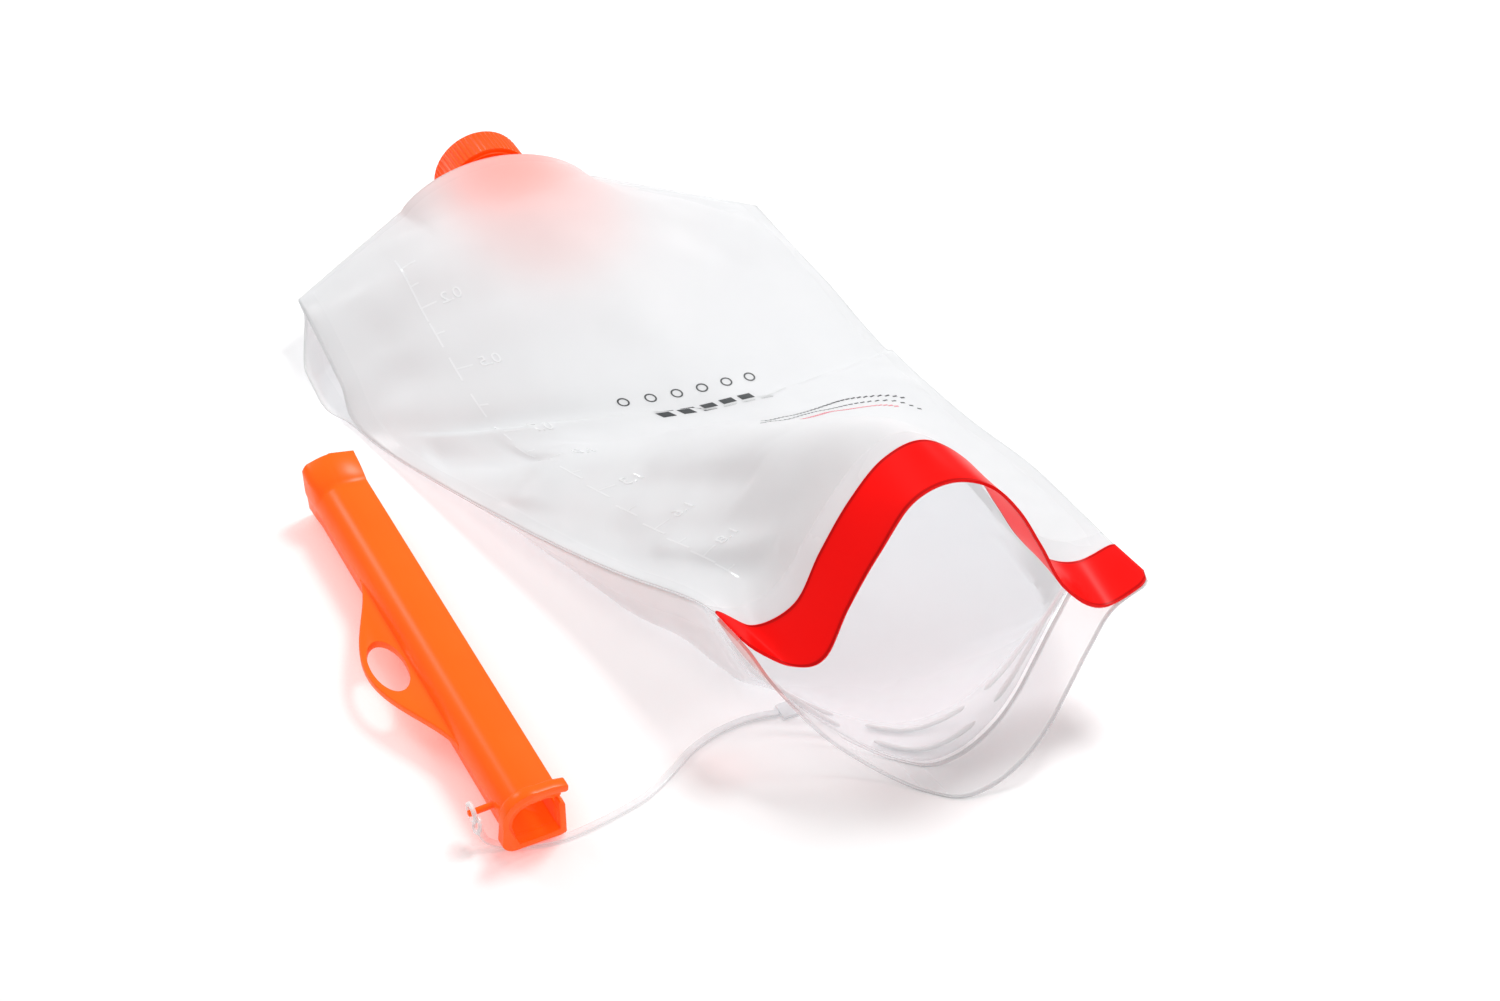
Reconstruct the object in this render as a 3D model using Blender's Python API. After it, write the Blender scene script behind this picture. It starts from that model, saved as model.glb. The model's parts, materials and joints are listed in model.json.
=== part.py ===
"""Hydration bladder: a slide-top drinking reservoir lying on its back, with its slide clip on a tether.

Metres, +Z up. The clip's long axis and the bag's length run along Y, the outlet port points to +Y and
the open mouth faces -Y. The origin is on the flat underside of the bag, on the surface it lies on.
"""

import math

import bmesh
import bpy
from mathutils import Matrix, Vector

# Film bag
FILM = 0.0010
SEAM_GAP = 0.0006
GRID_ACROSS, GRID_ALONG = 28, 24
BAND_GRID_ACROSS, BAND_GRID_ALONG = 40, 2

# Lip bands welded to the two films at the mouth
BAND_WIDTH = 0.020
BAND_THICK = 0.0012
BAND_GAP = 0.0005
LOWER_BAND_GAP = 0.0016
BAND_OUT = Vector((0.125, -0.992, 0)).normalized()
RIB_RADIUS, RIB_CLEARANCE = 0.0009, 0.0005
RIB_SPANS = {"left": (0.06, 0.26), "middle": (0.32, 0.56), "right": (0.62, 0.90)}
RIB_ROWS = {"outer": 0.985, "inner": 0.955}
RIB_STEPS = 12

# Outlet port, on an axis parallel to Y. A profile is a closed outline of (radius, y) points.
PORT_X, PORT_Z = -0.0185, 0.0205
TURN_SEGMENTS = 32
FLANGE_BACK, FLANGE_FRONT = 0.1895, 0.1925
FLANGE_HALF_WIDTH, FLANGE_HALF_HEIGHT, FLANGE_TIP = 0.0365, 0.0168, 0.0003
FLANGE_STEPS = 14
OPENING_HALF_WIDTH, OPENING_HALF_HEIGHT = 0.0400, 0.0188
EYE_POWER = 0.75
NECK_PROFILE = [(0.0100, 0.1880), (0.0147, 0.1880), (0.0147, 0.2070), (0.0100, 0.2070)]
SOCKET_PROFILE = [
    (0.0, 0.1860), (0.0085, 0.1860), (0.0085, 0.1915), (0.0110, 0.1915), (0.0110, 0.2010),
    (0.0124, 0.2010), (0.0124, 0.2034), (0.0110, 0.2034), (0.0110, 0.2090), (0.0, 0.2090),
]
LUG_TURNS = (90, 210, 330)
LUG_SIZE, LUG_Y, LUG_RADIUS = (0.0050, 0.0024, 0.0034), 0.2020, 0.0149
COLLAR_RADIUS, COLLAR_BACK = 0.0190, 0.1980
COLLAR_PROFILE = [
    (0.0153, 0.1980), (0.0184, 0.1980), (0.0190, 0.1987), (0.0190, 0.2112), (0.0183, 0.2120),
    (0.0124, 0.2120), (0.0124, 0.2092), (0.0170, 0.2092), (0.0170, 0.2003), (0.0153, 0.2003),
]
KNURLS, KNURL_DEPTH = 36, 0.0005
WASHER_PROFILE = [(0.0114, 0.2073), (0.0144, 0.2073), (0.0144, 0.2088), (0.0114, 0.2088)]

# Check valve behind the port
VALVE_PROFILE = [
    (0.0070, 0.1876), (0.0140, 0.1876), (0.0140, 0.1850), (0.0128, 0.1836), (0.0128, 0.1630),
    (0.0112, 0.1630), (0.0112, 0.1825), (0.0070, 0.1825),
]
RETAINER_PROFILE = [(0.0034, 0.1640), (0.0108, 0.1640), (0.0108, 0.1656), (0.0034, 0.1656)]
POPPET_PROFILE = [
    (0.0, 0.1930), (0.0030, 0.1926), (0.0030, 0.1808), (0.0095, 0.1808), (0.0095, 0.1780),
    (0.0030, 0.1780), (0.0026, 0.1690), (0.0, 0.1690),
]
POPPET_Y = 0.1800
SOCKET_RING = (0.0114, 0.2022, 0.0016)
POPPET_RING = (0.0083, 0.18165, 0.0011)
RING_STEPS, RING_SEGMENTS = 8, 28
SPRING_START, SPRING_END = 0.1664, 0.1773
SPRING_RADIUS, SPRING_WIRE, SPRING_TURNS, SPRING_STEPS = 0.0062, 0.0005, 4, 18

# Slide clip, along Y
CLIP_X, CLIP_NEAR, CLIP_FAR = -0.1400, -0.1200, 0.0665
CLIP_BORE_BOTTOM = 0.0046
CLIP_LEFT = -0.0076
CLIP_MIDDLE_Z = 0.0125
BAR_NEAR_INSET, BAR_FAR_INSET = 0.0020, 0.0120
FLARE_START, FLARE_WIDER, FLARE_TOP, FLARE_FOOT = 0.0125, 1.03, 1.50, 1.20
RIM_LENGTH = 0.0040
LOOP_BOTTOM, LOOP_TOP = 0.0110, 0.0140
LOOP_CENTRE_Y, LOOP_LENGTH = -0.0330, 0.0900
LOOP_ROOT, LOOP_REACH, LOOP_SWELL_POWER = 0.0086, 0.0235, 1.6
LOOP_STEPS = 24
HOLE_X, HOLE_WIDTH, HOLE_LENGTH = -0.0155, 0.0112, 0.0262
RAIL_X, RAIL_WIDTH, RAIL_HEIGHT, RAIL_INSET, RAIL_RISE = 0.0020, 0.0014, 0.0040, 0.0150, 0.0014
PRONG_Y, PRONG_Z, PRONG_RADIUS, PRONG_END = -0.1060, 0.0120, 0.00115, -0.1570

# Tether strap
TETHER_RADIUS, TETHER_STEPS = 0.0010, 40
EYELET_X, EYELET_RING = -0.1557, (0.0032, 0, 0.0018)
ANCHOR_SIZE, ANCHOR_MIDDLE = (0.0080, 0.0070, 0.0012), (-0.0367, -0.1020, 0.0008)
TETHER_ROUTE = [
    (-0.0410, -0.1020, 0.0011),
    (-0.0475, -0.1005, 0.0011),
    (-0.0545, -0.0998, 0.0011),
    (-0.0648, -0.1008, 0.0011),
    (-0.0755, -0.1042, 0.0011),
    (-0.0852, -0.1098, 0.0011),
    (-0.0935, -0.1142, 0.0011),
    (-0.1010, -0.1170, 0.0011),
    (-0.1155, -0.1195, 0.0011),
    (-0.1290, -0.1203, 0.0011),
    (-0.1400, -0.1180, 0.0011),
    (-0.1480, -0.1148, 0.0012),
    (-0.1532, -0.1120, 0.0030),
    (-0.1550, -0.1098, 0.0068),
]


def lerp(a, b, t):
    return a + (b - a) * t


def smooth_through(points, t):
    """A point of the Catmull-Rom curve through these points, t running from 0 to the last index."""
    i = min(int(t), len(points) - 2)
    f = t - i
    p1, p2 = points[i], points[i + 1]
    p0 = points[i - 1] if i > 0 else p1 * 2 - p2
    p3 = points[i + 2] if i + 2 < len(points) else p2 * 2 - p1
    return (
        p1 * 2 + (p2 - p0) * f + (p0 * 2 - p1 * 5 + p2 * 4 - p3) * f**2
        + (p1 * 3 - p0 - p2 * 3 + p3) * f**3
    ) / 2


# Each row of the bag runs across it, from the left seam to the right one. A top row is lifted and a
# bottom row dropped between them: (left, right, lift, lift_power, drop, drop_power).
ROWS = [
    ((-0.114, 0.148, 0.016), (0.081, 0.128, 0.008), (0, 0.012, 0.027), 0.80, (0, 0.010, -0.040), 0.70),
    ((-0.114, 0.122, 0.009), (0.083, 0.092, 0.007), (0, 0.005, 0.023), 0.85, (0, 0.004, -0.040), 0.80),
    ((-0.114, 0.097, 0.002), (0.084, 0.050, 0.006), (0.005, -0.040, 0.015), 0.80, (0, 0, -0.040), 1.00),
    ((-0.095, 0.030, 0.012), (0.086, -0.008, 0.014), (0.002, -0.017, 0.029), 1.30, (0, 0, -0.064), 1.00),
    ((-0.075, -0.032, 0.026), (0.086, -0.055, 0.026), (-0.002, -0.003, 0.046), 2.00, (0, 0, -0.130), 1.00),
    ((-0.062, -0.074, 0.041), (0.081, -0.098, 0.038), (-0.002, 0.006, 0.056), 2.60, (0, -0.014, -0.120), 1.00),
]
REAR_LEFT, REAR_RIGHT = Vector((-0.114, 0.164, 0.020)), Vector((0.080, 0.151, 0.009))
PORT_RISE = Vector((0, 0.0345, PORT_Z - 0.0148))
RAMP_LEFT, RAMP_RIGHT = 0.28, 0.29

# The mouth, from the left ear to the right one: where the top film meets its lip band, the band's free
# edge, and the free edge of the lower band.
UPPER_WELD = [
    (-0.059, -0.090, 0.046), (-0.050, -0.101, 0.045), (-0.039, -0.110, 0.058), (-0.029, -0.108, 0.075),
    (-0.017, -0.105, 0.090), (-0.003, -0.102, 0.100), (0.010, -0.105, 0.105), (0.022, -0.113, 0.097),
    (0.030, -0.119, 0.0815), (0.0375, -0.122, 0.0665), (0.048, -0.124, 0.0525), (0.060, -0.126, 0.0475),
    (0.0745, -0.126, 0.050),
]
UPPER_FREE = [
    (-0.0565, -0.110, 0.046), (-0.046, -0.122, 0.042), (-0.037, -0.127, 0.048), (-0.027, -0.124, 0.063),
    (-0.016, -0.121, 0.081), (-0.004, -0.121, 0.097), (0.009, -0.125, 0.104), (0.0185, -0.1315, 0.1035),
    (0.0275, -0.136, 0.0925), (0.035, -0.139, 0.0765), (0.0435, -0.143, 0.0575), (0.058, -0.146, 0.045),
    (0.077, -0.146, 0.050),
]
LOWER_FREE = [
    (-0.0565, -0.110, 0.046), (-0.049, -0.116, 0.030), (-0.038, -0.128, 0.014), (-0.026, -0.141, 0.0045),
    (-0.015, -0.155, 0.0012), (-0.005, -0.164, 0.0012), (0.007, -0.166, 0.0035), (0.019, -0.165, 0.0095),
    (0.030, -0.161, 0.016), (0.041, -0.155, 0.024), (0.051, -0.150, 0.033), (0.062, -0.146, 0.043),
    (0.077, -0.146, 0.050),
]


def hump(u, power):
    return max(0.0, math.sin(math.pi * u)) ** power


def eye(x, half_width):
    """The pointed oval of the welded port, 1 at its middle and 0 at its two tips."""
    return max(0.0, 1 - (x / half_width) ** 2) ** EYE_POWER


def rear_row(u, side):
    """The rear seam: straight from each corner to a tip of the port, and round the port between them."""
    point = REAR_LEFT.lerp(REAR_RIGHT, u)
    point += PORT_RISE * min(1.0, u / RAMP_LEFT, (1 - u) / RAMP_RIGHT)
    point.z += side * OPENING_HALF_HEIGHT * eye(point.x - PORT_X, OPENING_HALF_WIDTH)
    return point


def along_lip(stations, u):
    return smooth_through([Vector(point) for point in stations], u * (len(stations) - 1))


def lower_weld(u):
    """Where the bottom film meets its lip band, one band's width behind the free edge."""
    return along_lip(LOWER_FREE, u) - BAND_OUT * BAND_WIDTH


def mouth_row(u, side):
    return along_lip(UPPER_WELD, u) if side > 0 else lower_weld(u)


def film_point(u, v, side):
    """A point of the top film (side 1) or bottom film (side -1): u across, v from rear (0) to mouth (1)."""
    rows = [rear_row(u, side)]
    for left, right, lift, lift_power, drop, drop_power in ROWS:
        point = Vector(left).lerp(Vector(right), u)
        if side > 0:
            point += Vector(lift) * hump(u, lift_power)
        else:
            point += Vector(drop) * hump(u, drop_power)
            point.z = max(point.z, FILM)
        rows.append(point)
    rows.append(mouth_row(u, side))
    point = smooth_through(rows, v * (len(rows) - 1))
    point.z += side * SEAM_GAP / 2
    if side < 0:
        point.z = max(point.z, FILM)
    return point


def film_normal(u, v, side):
    """The normal into the bag."""
    step = 1e-3
    du = film_point(min(u + step, 1), v, side) - film_point(max(u - step, 0), v, side)
    dv = film_point(u, min(v + step, 1), side) - film_point(u, max(v - step, 0), side)
    normal = du.cross(dv).normalized()
    return normal if normal.z * side < 0 else -normal


def upper_band_point(u, across):
    start = film_point(u, 1, 1)
    out = (along_lip(UPPER_FREE, u) - along_lip(UPPER_WELD, u)).normalized()
    return start + out * (BAND_GAP + across * BAND_WIDTH)


def lower_band_point(u, across):
    point = film_point(u, 1, -1) + BAND_OUT * (LOWER_BAND_GAP + across * BAND_WIDTH)
    point.z = max(point.z, BAND_THICK)
    return point


def material(name, colour, roughness, metallic=0.0, transmission=0.0):
    made = bpy.data.materials.new(name)
    made.use_nodes = True
    shader = made.node_tree.nodes["Principled BSDF"]
    shader.inputs["Base Color"].default_value = (*colour, 1)
    shader.inputs["Roughness"].default_value = roughness
    shader.inputs["Metallic"].default_value = metallic
    shader.inputs["Transmission Weight"].default_value = transmission
    return made


def add_object(name, data, finish, parent=None):
    obj = bpy.data.objects.new(name, data)
    bpy.context.collection.objects.link(obj)
    obj.data.materials.append(finish)
    if parent is not None:
        obj.parent = parent
        obj.matrix_parent_inverse = parent.matrix_world.inverted()
    return obj


def mesh_object(name, bm, finish, parent=None, sharp=40):
    bmesh.ops.recalc_face_normals(bm, faces=bm.faces[:])
    mesh = bpy.data.meshes.new(name)
    bm.to_mesh(mesh)
    bm.free()
    mesh.shade_smooth()
    mesh.set_sharp_from_angle(angle=math.radians(sharp))
    return add_object(name, mesh, finish, parent)


def sheet_object(name, point_at, across, along, thickness, outward, finish):
    """A thin shell: a grid laid on point_at(u, v) and thickened away from the bag's inside."""
    bm = bmesh.new()
    bmesh.ops.create_grid(bm, x_segments=across, y_segments=along, size=0.5)
    for vert in bm.verts:
        vert.co = point_at(vert.co.x + 0.5, vert.co.y + 0.5)
    bm.normal_update()
    if sum(face.normal.z for face in bm.faces) * outward < 0:
        bmesh.ops.reverse_faces(bm, faces=bm.faces[:])
    mesh = bpy.data.meshes.new(name)
    bm.to_mesh(mesh)
    bm.free()
    mesh.shade_smooth()
    obj = add_object(name, mesh, finish)
    shell = obj.modifiers.new("Thickness", "SOLIDIFY")
    shell.thickness = thickness
    shell.offset = 1
    return obj


def turned(profile, segments=TURN_SEGMENTS):
    """A mesh turned about the Y axis from a profile."""
    bm = bmesh.new()
    verts = [bm.verts.new((radius, y, 0)) for radius, y in profile]
    edges = [bm.edges.new((a, b)) for a, b in zip(verts, verts[1:] + verts[:1])]
    bmesh.ops.spin(
        bm, geom=verts + edges, cent=(0, 0, 0), axis=(0, 1, 0), angle=2 * math.pi,
        steps=segments, use_merge=True, use_duplicate=False,
    )
    bmesh.ops.remove_doubles(bm, verts=bm.verts[:], dist=1e-6)
    bmesh.ops.dissolve_degenerate(bm, dist=1e-6, edges=bm.edges[:])
    return bm


def to_port(bm):
    """The mesh moved from the Y axis to the port's axis."""
    bmesh.ops.translate(bm, verts=bm.verts[:], vec=(PORT_X, 0, PORT_Z))
    return bm


def cube(size, middle):
    bm = bmesh.new()
    bmesh.ops.create_cube(bm, size=1)
    bmesh.ops.scale(bm, verts=bm.verts[:], vec=size)
    bmesh.ops.translate(bm, verts=bm.verts[:], vec=middle)
    return bm


def pivot_object(name, location):
    pivot = bpy.data.objects.new(name, None)
    bpy.context.collection.objects.link(pivot)
    pivot.location = location
    bpy.context.view_layer.update()
    return pivot


def tube_object(name, points, radius, finish, resolution=2):
    curve = bpy.data.curves.new(name, "CURVE")
    curve.dimensions = "3D"
    curve.bevel_depth = radius
    curve.bevel_resolution = resolution
    curve.use_fill_caps = True
    spline = curve.splines.new("POLY")
    spline.points.add(len(points) - 1)
    for knot, point in zip(spline.points, points):
        knot.co = (*point, 1)
    return add_object(name, curve, finish)


def prism(outline, start, end, place):
    """An outline of 2-D points extruded from start to end; place turns (a, b, c) into x, y, z."""
    bm = bmesh.new()
    face = bm.faces.new([bm.verts.new(place(a, b, start)) for a, b in outline])
    moved = bmesh.ops.extrude_face_region(bm, geom=[face])
    shift = Vector(place(0, 0, end)) - Vector(place(0, 0, start))
    far = [item for item in moved["geom"] if isinstance(item, bmesh.types.BMVert)]
    bmesh.ops.translate(bm, verts=far, vec=shift)
    bmesh.ops.recalc_face_normals(bm, faces=bm.faces[:])
    return bm


def arc(centre, radius, start, end, steps):
    """Points on an arc, in degrees from start to end."""
    return [
        (
            centre[0] + radius * math.cos(math.radians(lerp(start, end, i / steps))),
            centre[1] + radius * math.sin(math.radians(lerp(start, end, i / steps))),
        )
        for i in range(steps + 1)
    ]


def helper(name, bm):
    """A shape that only adds to or cuts from another."""
    mesh = bpy.data.meshes.new(name)
    bmesh.ops.recalc_face_normals(bm, faces=bm.faces[:])
    bm.to_mesh(mesh)
    bm.free()
    obj = bpy.data.objects.new(name, mesh)
    bpy.context.collection.objects.link(obj)
    obj.hide_render = True
    obj.display_type = "WIRE"
    return obj


def combine(obj, other, operation):
    boolean = obj.modifiers.new(other.name, "BOOLEAN")
    boolean.operation = operation
    boolean.object = other
    boolean.solver = "EXACT"


def make_bag(finishes):
    for name, side in (("front_film", 1), ("back_film", -1)):
        sheet_object(
            name, lambda u, v: film_point(u, v, side), GRID_ACROSS, GRID_ALONG, FILM, side, finishes["film"]
        )
    across, along = BAND_GRID_ACROSS, BAND_GRID_ALONG
    sheet_object("front_lip_band", upper_band_point, across, along, BAND_THICK, 1, finishes["red"])
    sheet_object("back_lip_band", lower_band_point, across, along, BAND_THICK, -1, finishes["clear"])


def make_ribs(finish):
    """Three pairs of welded ribs on the inside of the back film, along its lip."""
    for side, (start, end) in RIB_SPANS.items():
        for row, v in RIB_ROWS.items():
            points = []
            for i in range(RIB_STEPS + 1):
                u = lerp(start, end, i / RIB_STEPS)
                lift = RIB_RADIUS + RIB_CLEARANCE
                points.append(film_point(u, v, -1) + film_normal(u, v, -1) * lift)
            tube_object(f"lip_rib_{side}_{row}", points, RIB_RADIUS, finish)


def make_flange(finish):
    """The pointed oval that the films are welded round, with the neck that the collar locks on."""
    across = [-FLANGE_HALF_WIDTH * math.cos(math.pi * i / FLANGE_STEPS) for i in range(FLANGE_STEPS + 1)]
    top = [(x, FLANGE_HALF_HEIGHT * eye(x, FLANGE_HALF_WIDTH) + FLANGE_TIP) for x in across]
    outline = top + [(x, -z) for x, z in reversed(top)]
    plate = prism(outline, FLANGE_BACK, FLANGE_FRONT, lambda a, b, c: (a, c, b))
    flange = mesh_object("outlet_flange", to_port(plate), finish)
    combine(flange, helper("neck_stock", to_port(turned(NECK_PROFILE))), "UNION")
    combine(flange, helper("neck_socket", to_port(turned(SOCKET_PROFILE))), "DIFFERENCE")
    for number, turn in enumerate(LUG_TURNS):
        lug = cube(LUG_SIZE, (0, LUG_Y, LUG_RADIUS))
        bmesh.ops.rotate(lug, verts=lug.verts[:], matrix=Matrix.Rotation(math.radians(turn), 3, "Y"))
        combine(flange, helper(f"bayonet_lug_{number}", to_port(lug)), "UNION")


def knurled(co):
    """Flutes on the collar's outside, none on its bore."""
    radius = math.hypot(co.x, co.z)
    if radius < COLLAR_RADIUS - 0.0008:
        return co
    angle = math.atan2(co.z, co.x)
    depth = KNURL_DEPTH * (1 - math.cos(angle * KNURLS)) / 2
    scale = (radius - depth) / radius
    return Vector((co.x * scale, co.y, co.z * scale))


def make_collar(finishes):
    pivot = pivot_object("collar_pivot", (PORT_X, COLLAR_BACK, PORT_Z))
    collar = turned(COLLAR_PROFILE, KNURLS * 2)
    for vert in collar.verts:
        vert.co = knurled(vert.co)
    mesh_object("outlet_collar", to_port(collar), finishes["orange"], pivot)
    mesh_object("collar_washer", to_port(turned(WASHER_PROFILE)), finishes["rubber"], pivot)


def ring(radius, y, thickness):
    """An O-ring about the Y axis."""
    last = RING_STEPS - 1
    section = arc((0, 0), thickness / 2, 0, 360 * last / RING_STEPS, last)
    return turned([(radius + a, y + b) for a, b in section], RING_SEGMENTS)


def make_valve(finishes):
    mesh_object("valve_body", to_port(turned(VALVE_PROFILE)), finishes["orange"])
    mesh_object("socket_o_ring", to_port(ring(*SOCKET_RING)), finishes["rubber"])
    mesh_object("spring_retainer", to_port(turned(RETAINER_PROFILE)), finishes["white"])
    pivot = pivot_object("poppet_slide", (PORT_X, POPPET_Y, PORT_Z))
    mesh_object("valve_poppet", to_port(turned(POPPET_PROFILE)), finishes["white"], pivot)
    mesh_object("poppet_seal", to_port(ring(*POPPET_RING)), finishes["rubber"], pivot)
    coil = []
    for i in range(SPRING_TURNS * SPRING_STEPS + 1):
        angle = 2 * math.pi * i / SPRING_STEPS
        y = lerp(SPRING_START, SPRING_END, i / (SPRING_TURNS * SPRING_STEPS))
        x, z = SPRING_RADIUS * math.cos(angle), SPRING_RADIUS * math.sin(angle)
        coil.append((PORT_X + x, y, PORT_Z + z))
    tube_object("valve_spring", coil, SPRING_WIRE, finishes["steel"], resolution=1)


def bar_outline():
    """The C-shaped section of the clip, (x, z) from its centre line, open at the upper right."""
    outer = (
        [(0.0110, 0.0204), (0.0060, 0.0216)]
        + arc((0.0006, 0.0125), 0.0090, 88, 200, 8)
        + arc((-0.0040, 0.0066), 0.0040, 205, 270, 3)
        + [(0.0095, 0.0026)]
        + arc((0.0092, 0.0046), 0.0020, 280, 350, 3)
        + [(0.0112, 0.0135)]
    )
    inner = (
        [(0.0094, 0.0135), (0.0094, CLIP_BORE_BOTTOM), (-0.0050, CLIP_BORE_BOTTOM)]
        + arc((0.0006, 0.0125), 0.0072, 200, 88, 8)
        + [(0.0060, 0.0198), (0.0106, 0.0187)]
    )
    return outer + inner


def rim_outline():
    """The taller section at the near end."""
    outer = (
        [(0.0130, 0.0246), (0.0080, 0.0258)]
        + arc((-0.0002, 0.0162), 0.0102, 75, 190, 8)
        + arc((-0.0060, 0.0080), 0.0052, 195, 262, 3)
        + [(0.0095, 0.0024), (0.0116, 0.0030), (0.0116, 0.0168)]
    )
    inner = (
        [(0.0096, 0.0185), (0.0096, 0.0050), (-0.0050, 0.0050)]
        + arc((-0.0002, 0.0152), 0.0082, 192, 75, 8)
        + [(0.0080, 0.0232), (0.0126, 0.0220)]
    )
    return outer + inner


def loop_outline():
    """The finger plate, (x, y): along the bar's left side, swelling round the hole."""
    edge = []
    for i in range(LOOP_STEPS + 1):
        t = i / LOOP_STEPS
        swell = math.sin(math.pi * t) ** LOOP_SWELL_POWER
        edge.append((-lerp(LOOP_ROOT, LOOP_REACH, swell), LOOP_CENTRE_Y + LOOP_LENGTH * (0.5 - t)))
    near, far = LOOP_CENTRE_Y - LOOP_LENGTH / 2, LOOP_CENTRE_Y + LOOP_LENGTH / 2
    return edge + [(CLIP_LEFT, near), (CLIP_LEFT, far)]


def make_clip(finish):
    def along_y(a, b, c):
        return (a + CLIP_X, c, b)

    pivot = pivot_object("clip_pivot", (PRONG_END, PRONG_Y, 0))
    bar = prism(bar_outline(), CLIP_NEAR + BAR_NEAR_INSET, CLIP_FAR - BAR_FAR_INSET, along_y)
    clip = mesh_object("slide_clip", bar, finish, pivot, sharp=35)

    # The far end flares so that the folded mouth feeds in.
    flare = prism(bar_outline(), CLIP_FAR - FLARE_START, CLIP_FAR, along_y)
    for vert in flare.verts:
        if vert.co.y > CLIP_FAR - FLARE_START / 2:
            vert.co.x = CLIP_X + (vert.co.x - CLIP_X) * FLARE_WIDER
            rise = vert.co.z - CLIP_MIDDLE_Z
            vert.co.z = CLIP_MIDDLE_Z + rise * (FLARE_TOP if rise > 0 else FLARE_FOOT)
    combine(clip, helper("far_flare", flare), "UNION")
    rim = prism(rim_outline(), CLIP_NEAR, CLIP_NEAR + RIM_LENGTH, along_y)
    combine(clip, helper("near_rim", rim), "UNION")

    plate = prism(loop_outline(), LOOP_BOTTOM, LOOP_TOP, lambda a, b, c: (a + CLIP_X, b, c))
    combine(clip, helper("finger_plate", plate), "UNION")
    hole = bmesh.new()
    bmesh.ops.create_cone(
        hole, cap_ends=True, segments=TURN_SEGMENTS, radius1=0.5, radius2=0.5,
        depth=2 * (LOOP_TOP - LOOP_BOTTOM),
    )
    bmesh.ops.scale(hole, verts=hole.verts[:], vec=(HOLE_WIDTH, HOLE_LENGTH, 1))
    middle = (CLIP_X + HOLE_X, LOOP_CENTRE_Y, (LOOP_BOTTOM + LOOP_TOP) / 2)
    bmesh.ops.translate(hole, verts=hole.verts[:], vec=middle)
    combine(clip, helper("finger_hole", hole), "DIFFERENCE")

    rail = cube(
        (RAIL_WIDTH, CLIP_FAR - CLIP_NEAR - 2 * RAIL_INSET, RAIL_HEIGHT),
        (CLIP_X + RAIL_X, (CLIP_FAR + CLIP_NEAR) / 2, CLIP_BORE_BOTTOM + RAIL_RISE),
    )
    combine(clip, helper("guide_rail", rail), "UNION")

    root = CLIP_X + CLIP_LEFT
    prong = bmesh.new()
    bmesh.ops.create_cone(
        prong, cap_ends=True, segments=16, radius1=PRONG_RADIUS, radius2=PRONG_RADIUS, depth=root - PRONG_END
    )
    bmesh.ops.rotate(prong, verts=prong.verts[:], matrix=Matrix.Rotation(math.radians(90), 3, "Y"))
    bmesh.ops.translate(prong, verts=prong.verts[:], vec=((PRONG_END + root) / 2, PRONG_Y, PRONG_Z))
    combine(clip, helper("prong_stock", prong), "UNION")


def make_tether(finish):
    """The strap from the bag's underside to the clip's prong, as one tube, with its eyelet and its anchor."""
    route = [Vector(point) for point in TETHER_ROUTE]
    last = len(route) - 1
    points = [smooth_through(route, last * i / TETHER_STEPS) for i in range(TETHER_STEPS + 1)]
    tube_object("tether_strap", points, TETHER_RADIUS, finish)
    eyelet = ring(*EYELET_RING)
    bmesh.ops.rotate(eyelet, verts=eyelet.verts[:], matrix=Matrix.Rotation(math.radians(90), 3, "Z"))
    bmesh.ops.translate(eyelet, verts=eyelet.verts[:], vec=(EYELET_X, PRONG_Y, PRONG_Z))
    mesh_object("tether_eyelet", eyelet, finish)
    mesh_object("tether_anchor", cube(ANCHOR_SIZE, ANCHOR_MIDDLE), finish)


def main():
    for obj in list(bpy.data.objects):
        bpy.data.objects.remove(obj, do_unlink=True)
    finishes = {
        "film": material("frosted_film", (0.86, 0.87, 0.88), 0.35, transmission=0.6),
        "clear": material("clear_band", (0.95, 0.96, 0.97), 0.06, transmission=1.0),
        "red": material("red_band", (0.90, 0.02, 0.02), 0.35),
        "orange": material("orange_plastic", (1.0, 0.16, 0.01), 0.30),
        "tether": material("clear_strap", (0.88, 0.89, 0.90), 0.25, transmission=0.5),
        "rubber": material("dark_rubber", (0.04, 0.04, 0.045), 0.70),
        "white": material("white_plastic", (0.85, 0.85, 0.83), 0.40),
        "steel": material("spring_steel", (0.62, 0.63, 0.65), 0.25, metallic=1.0),
    }
    make_bag(finishes)
    make_ribs(finishes["clear"])
    make_flange(finishes["orange"])
    make_collar(finishes)
    make_valve(finishes)
    make_clip(finishes["orange"])
    make_tether(finishes["tether"])


main()
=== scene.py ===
"""Hydration bladder: a drinking reservoir of frosted film lying open beside its slide clip.

Metres, +Z up. The outlet port points to +Y, the open mouth faces -Y and the bag lies on Z = 0.
"""

import json
import math

import bmesh
import bpy
from bpy.props import FloatProperty, FloatVectorProperty, IntProperty, PointerProperty
from mathutils import Matrix, Vector, noise

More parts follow.
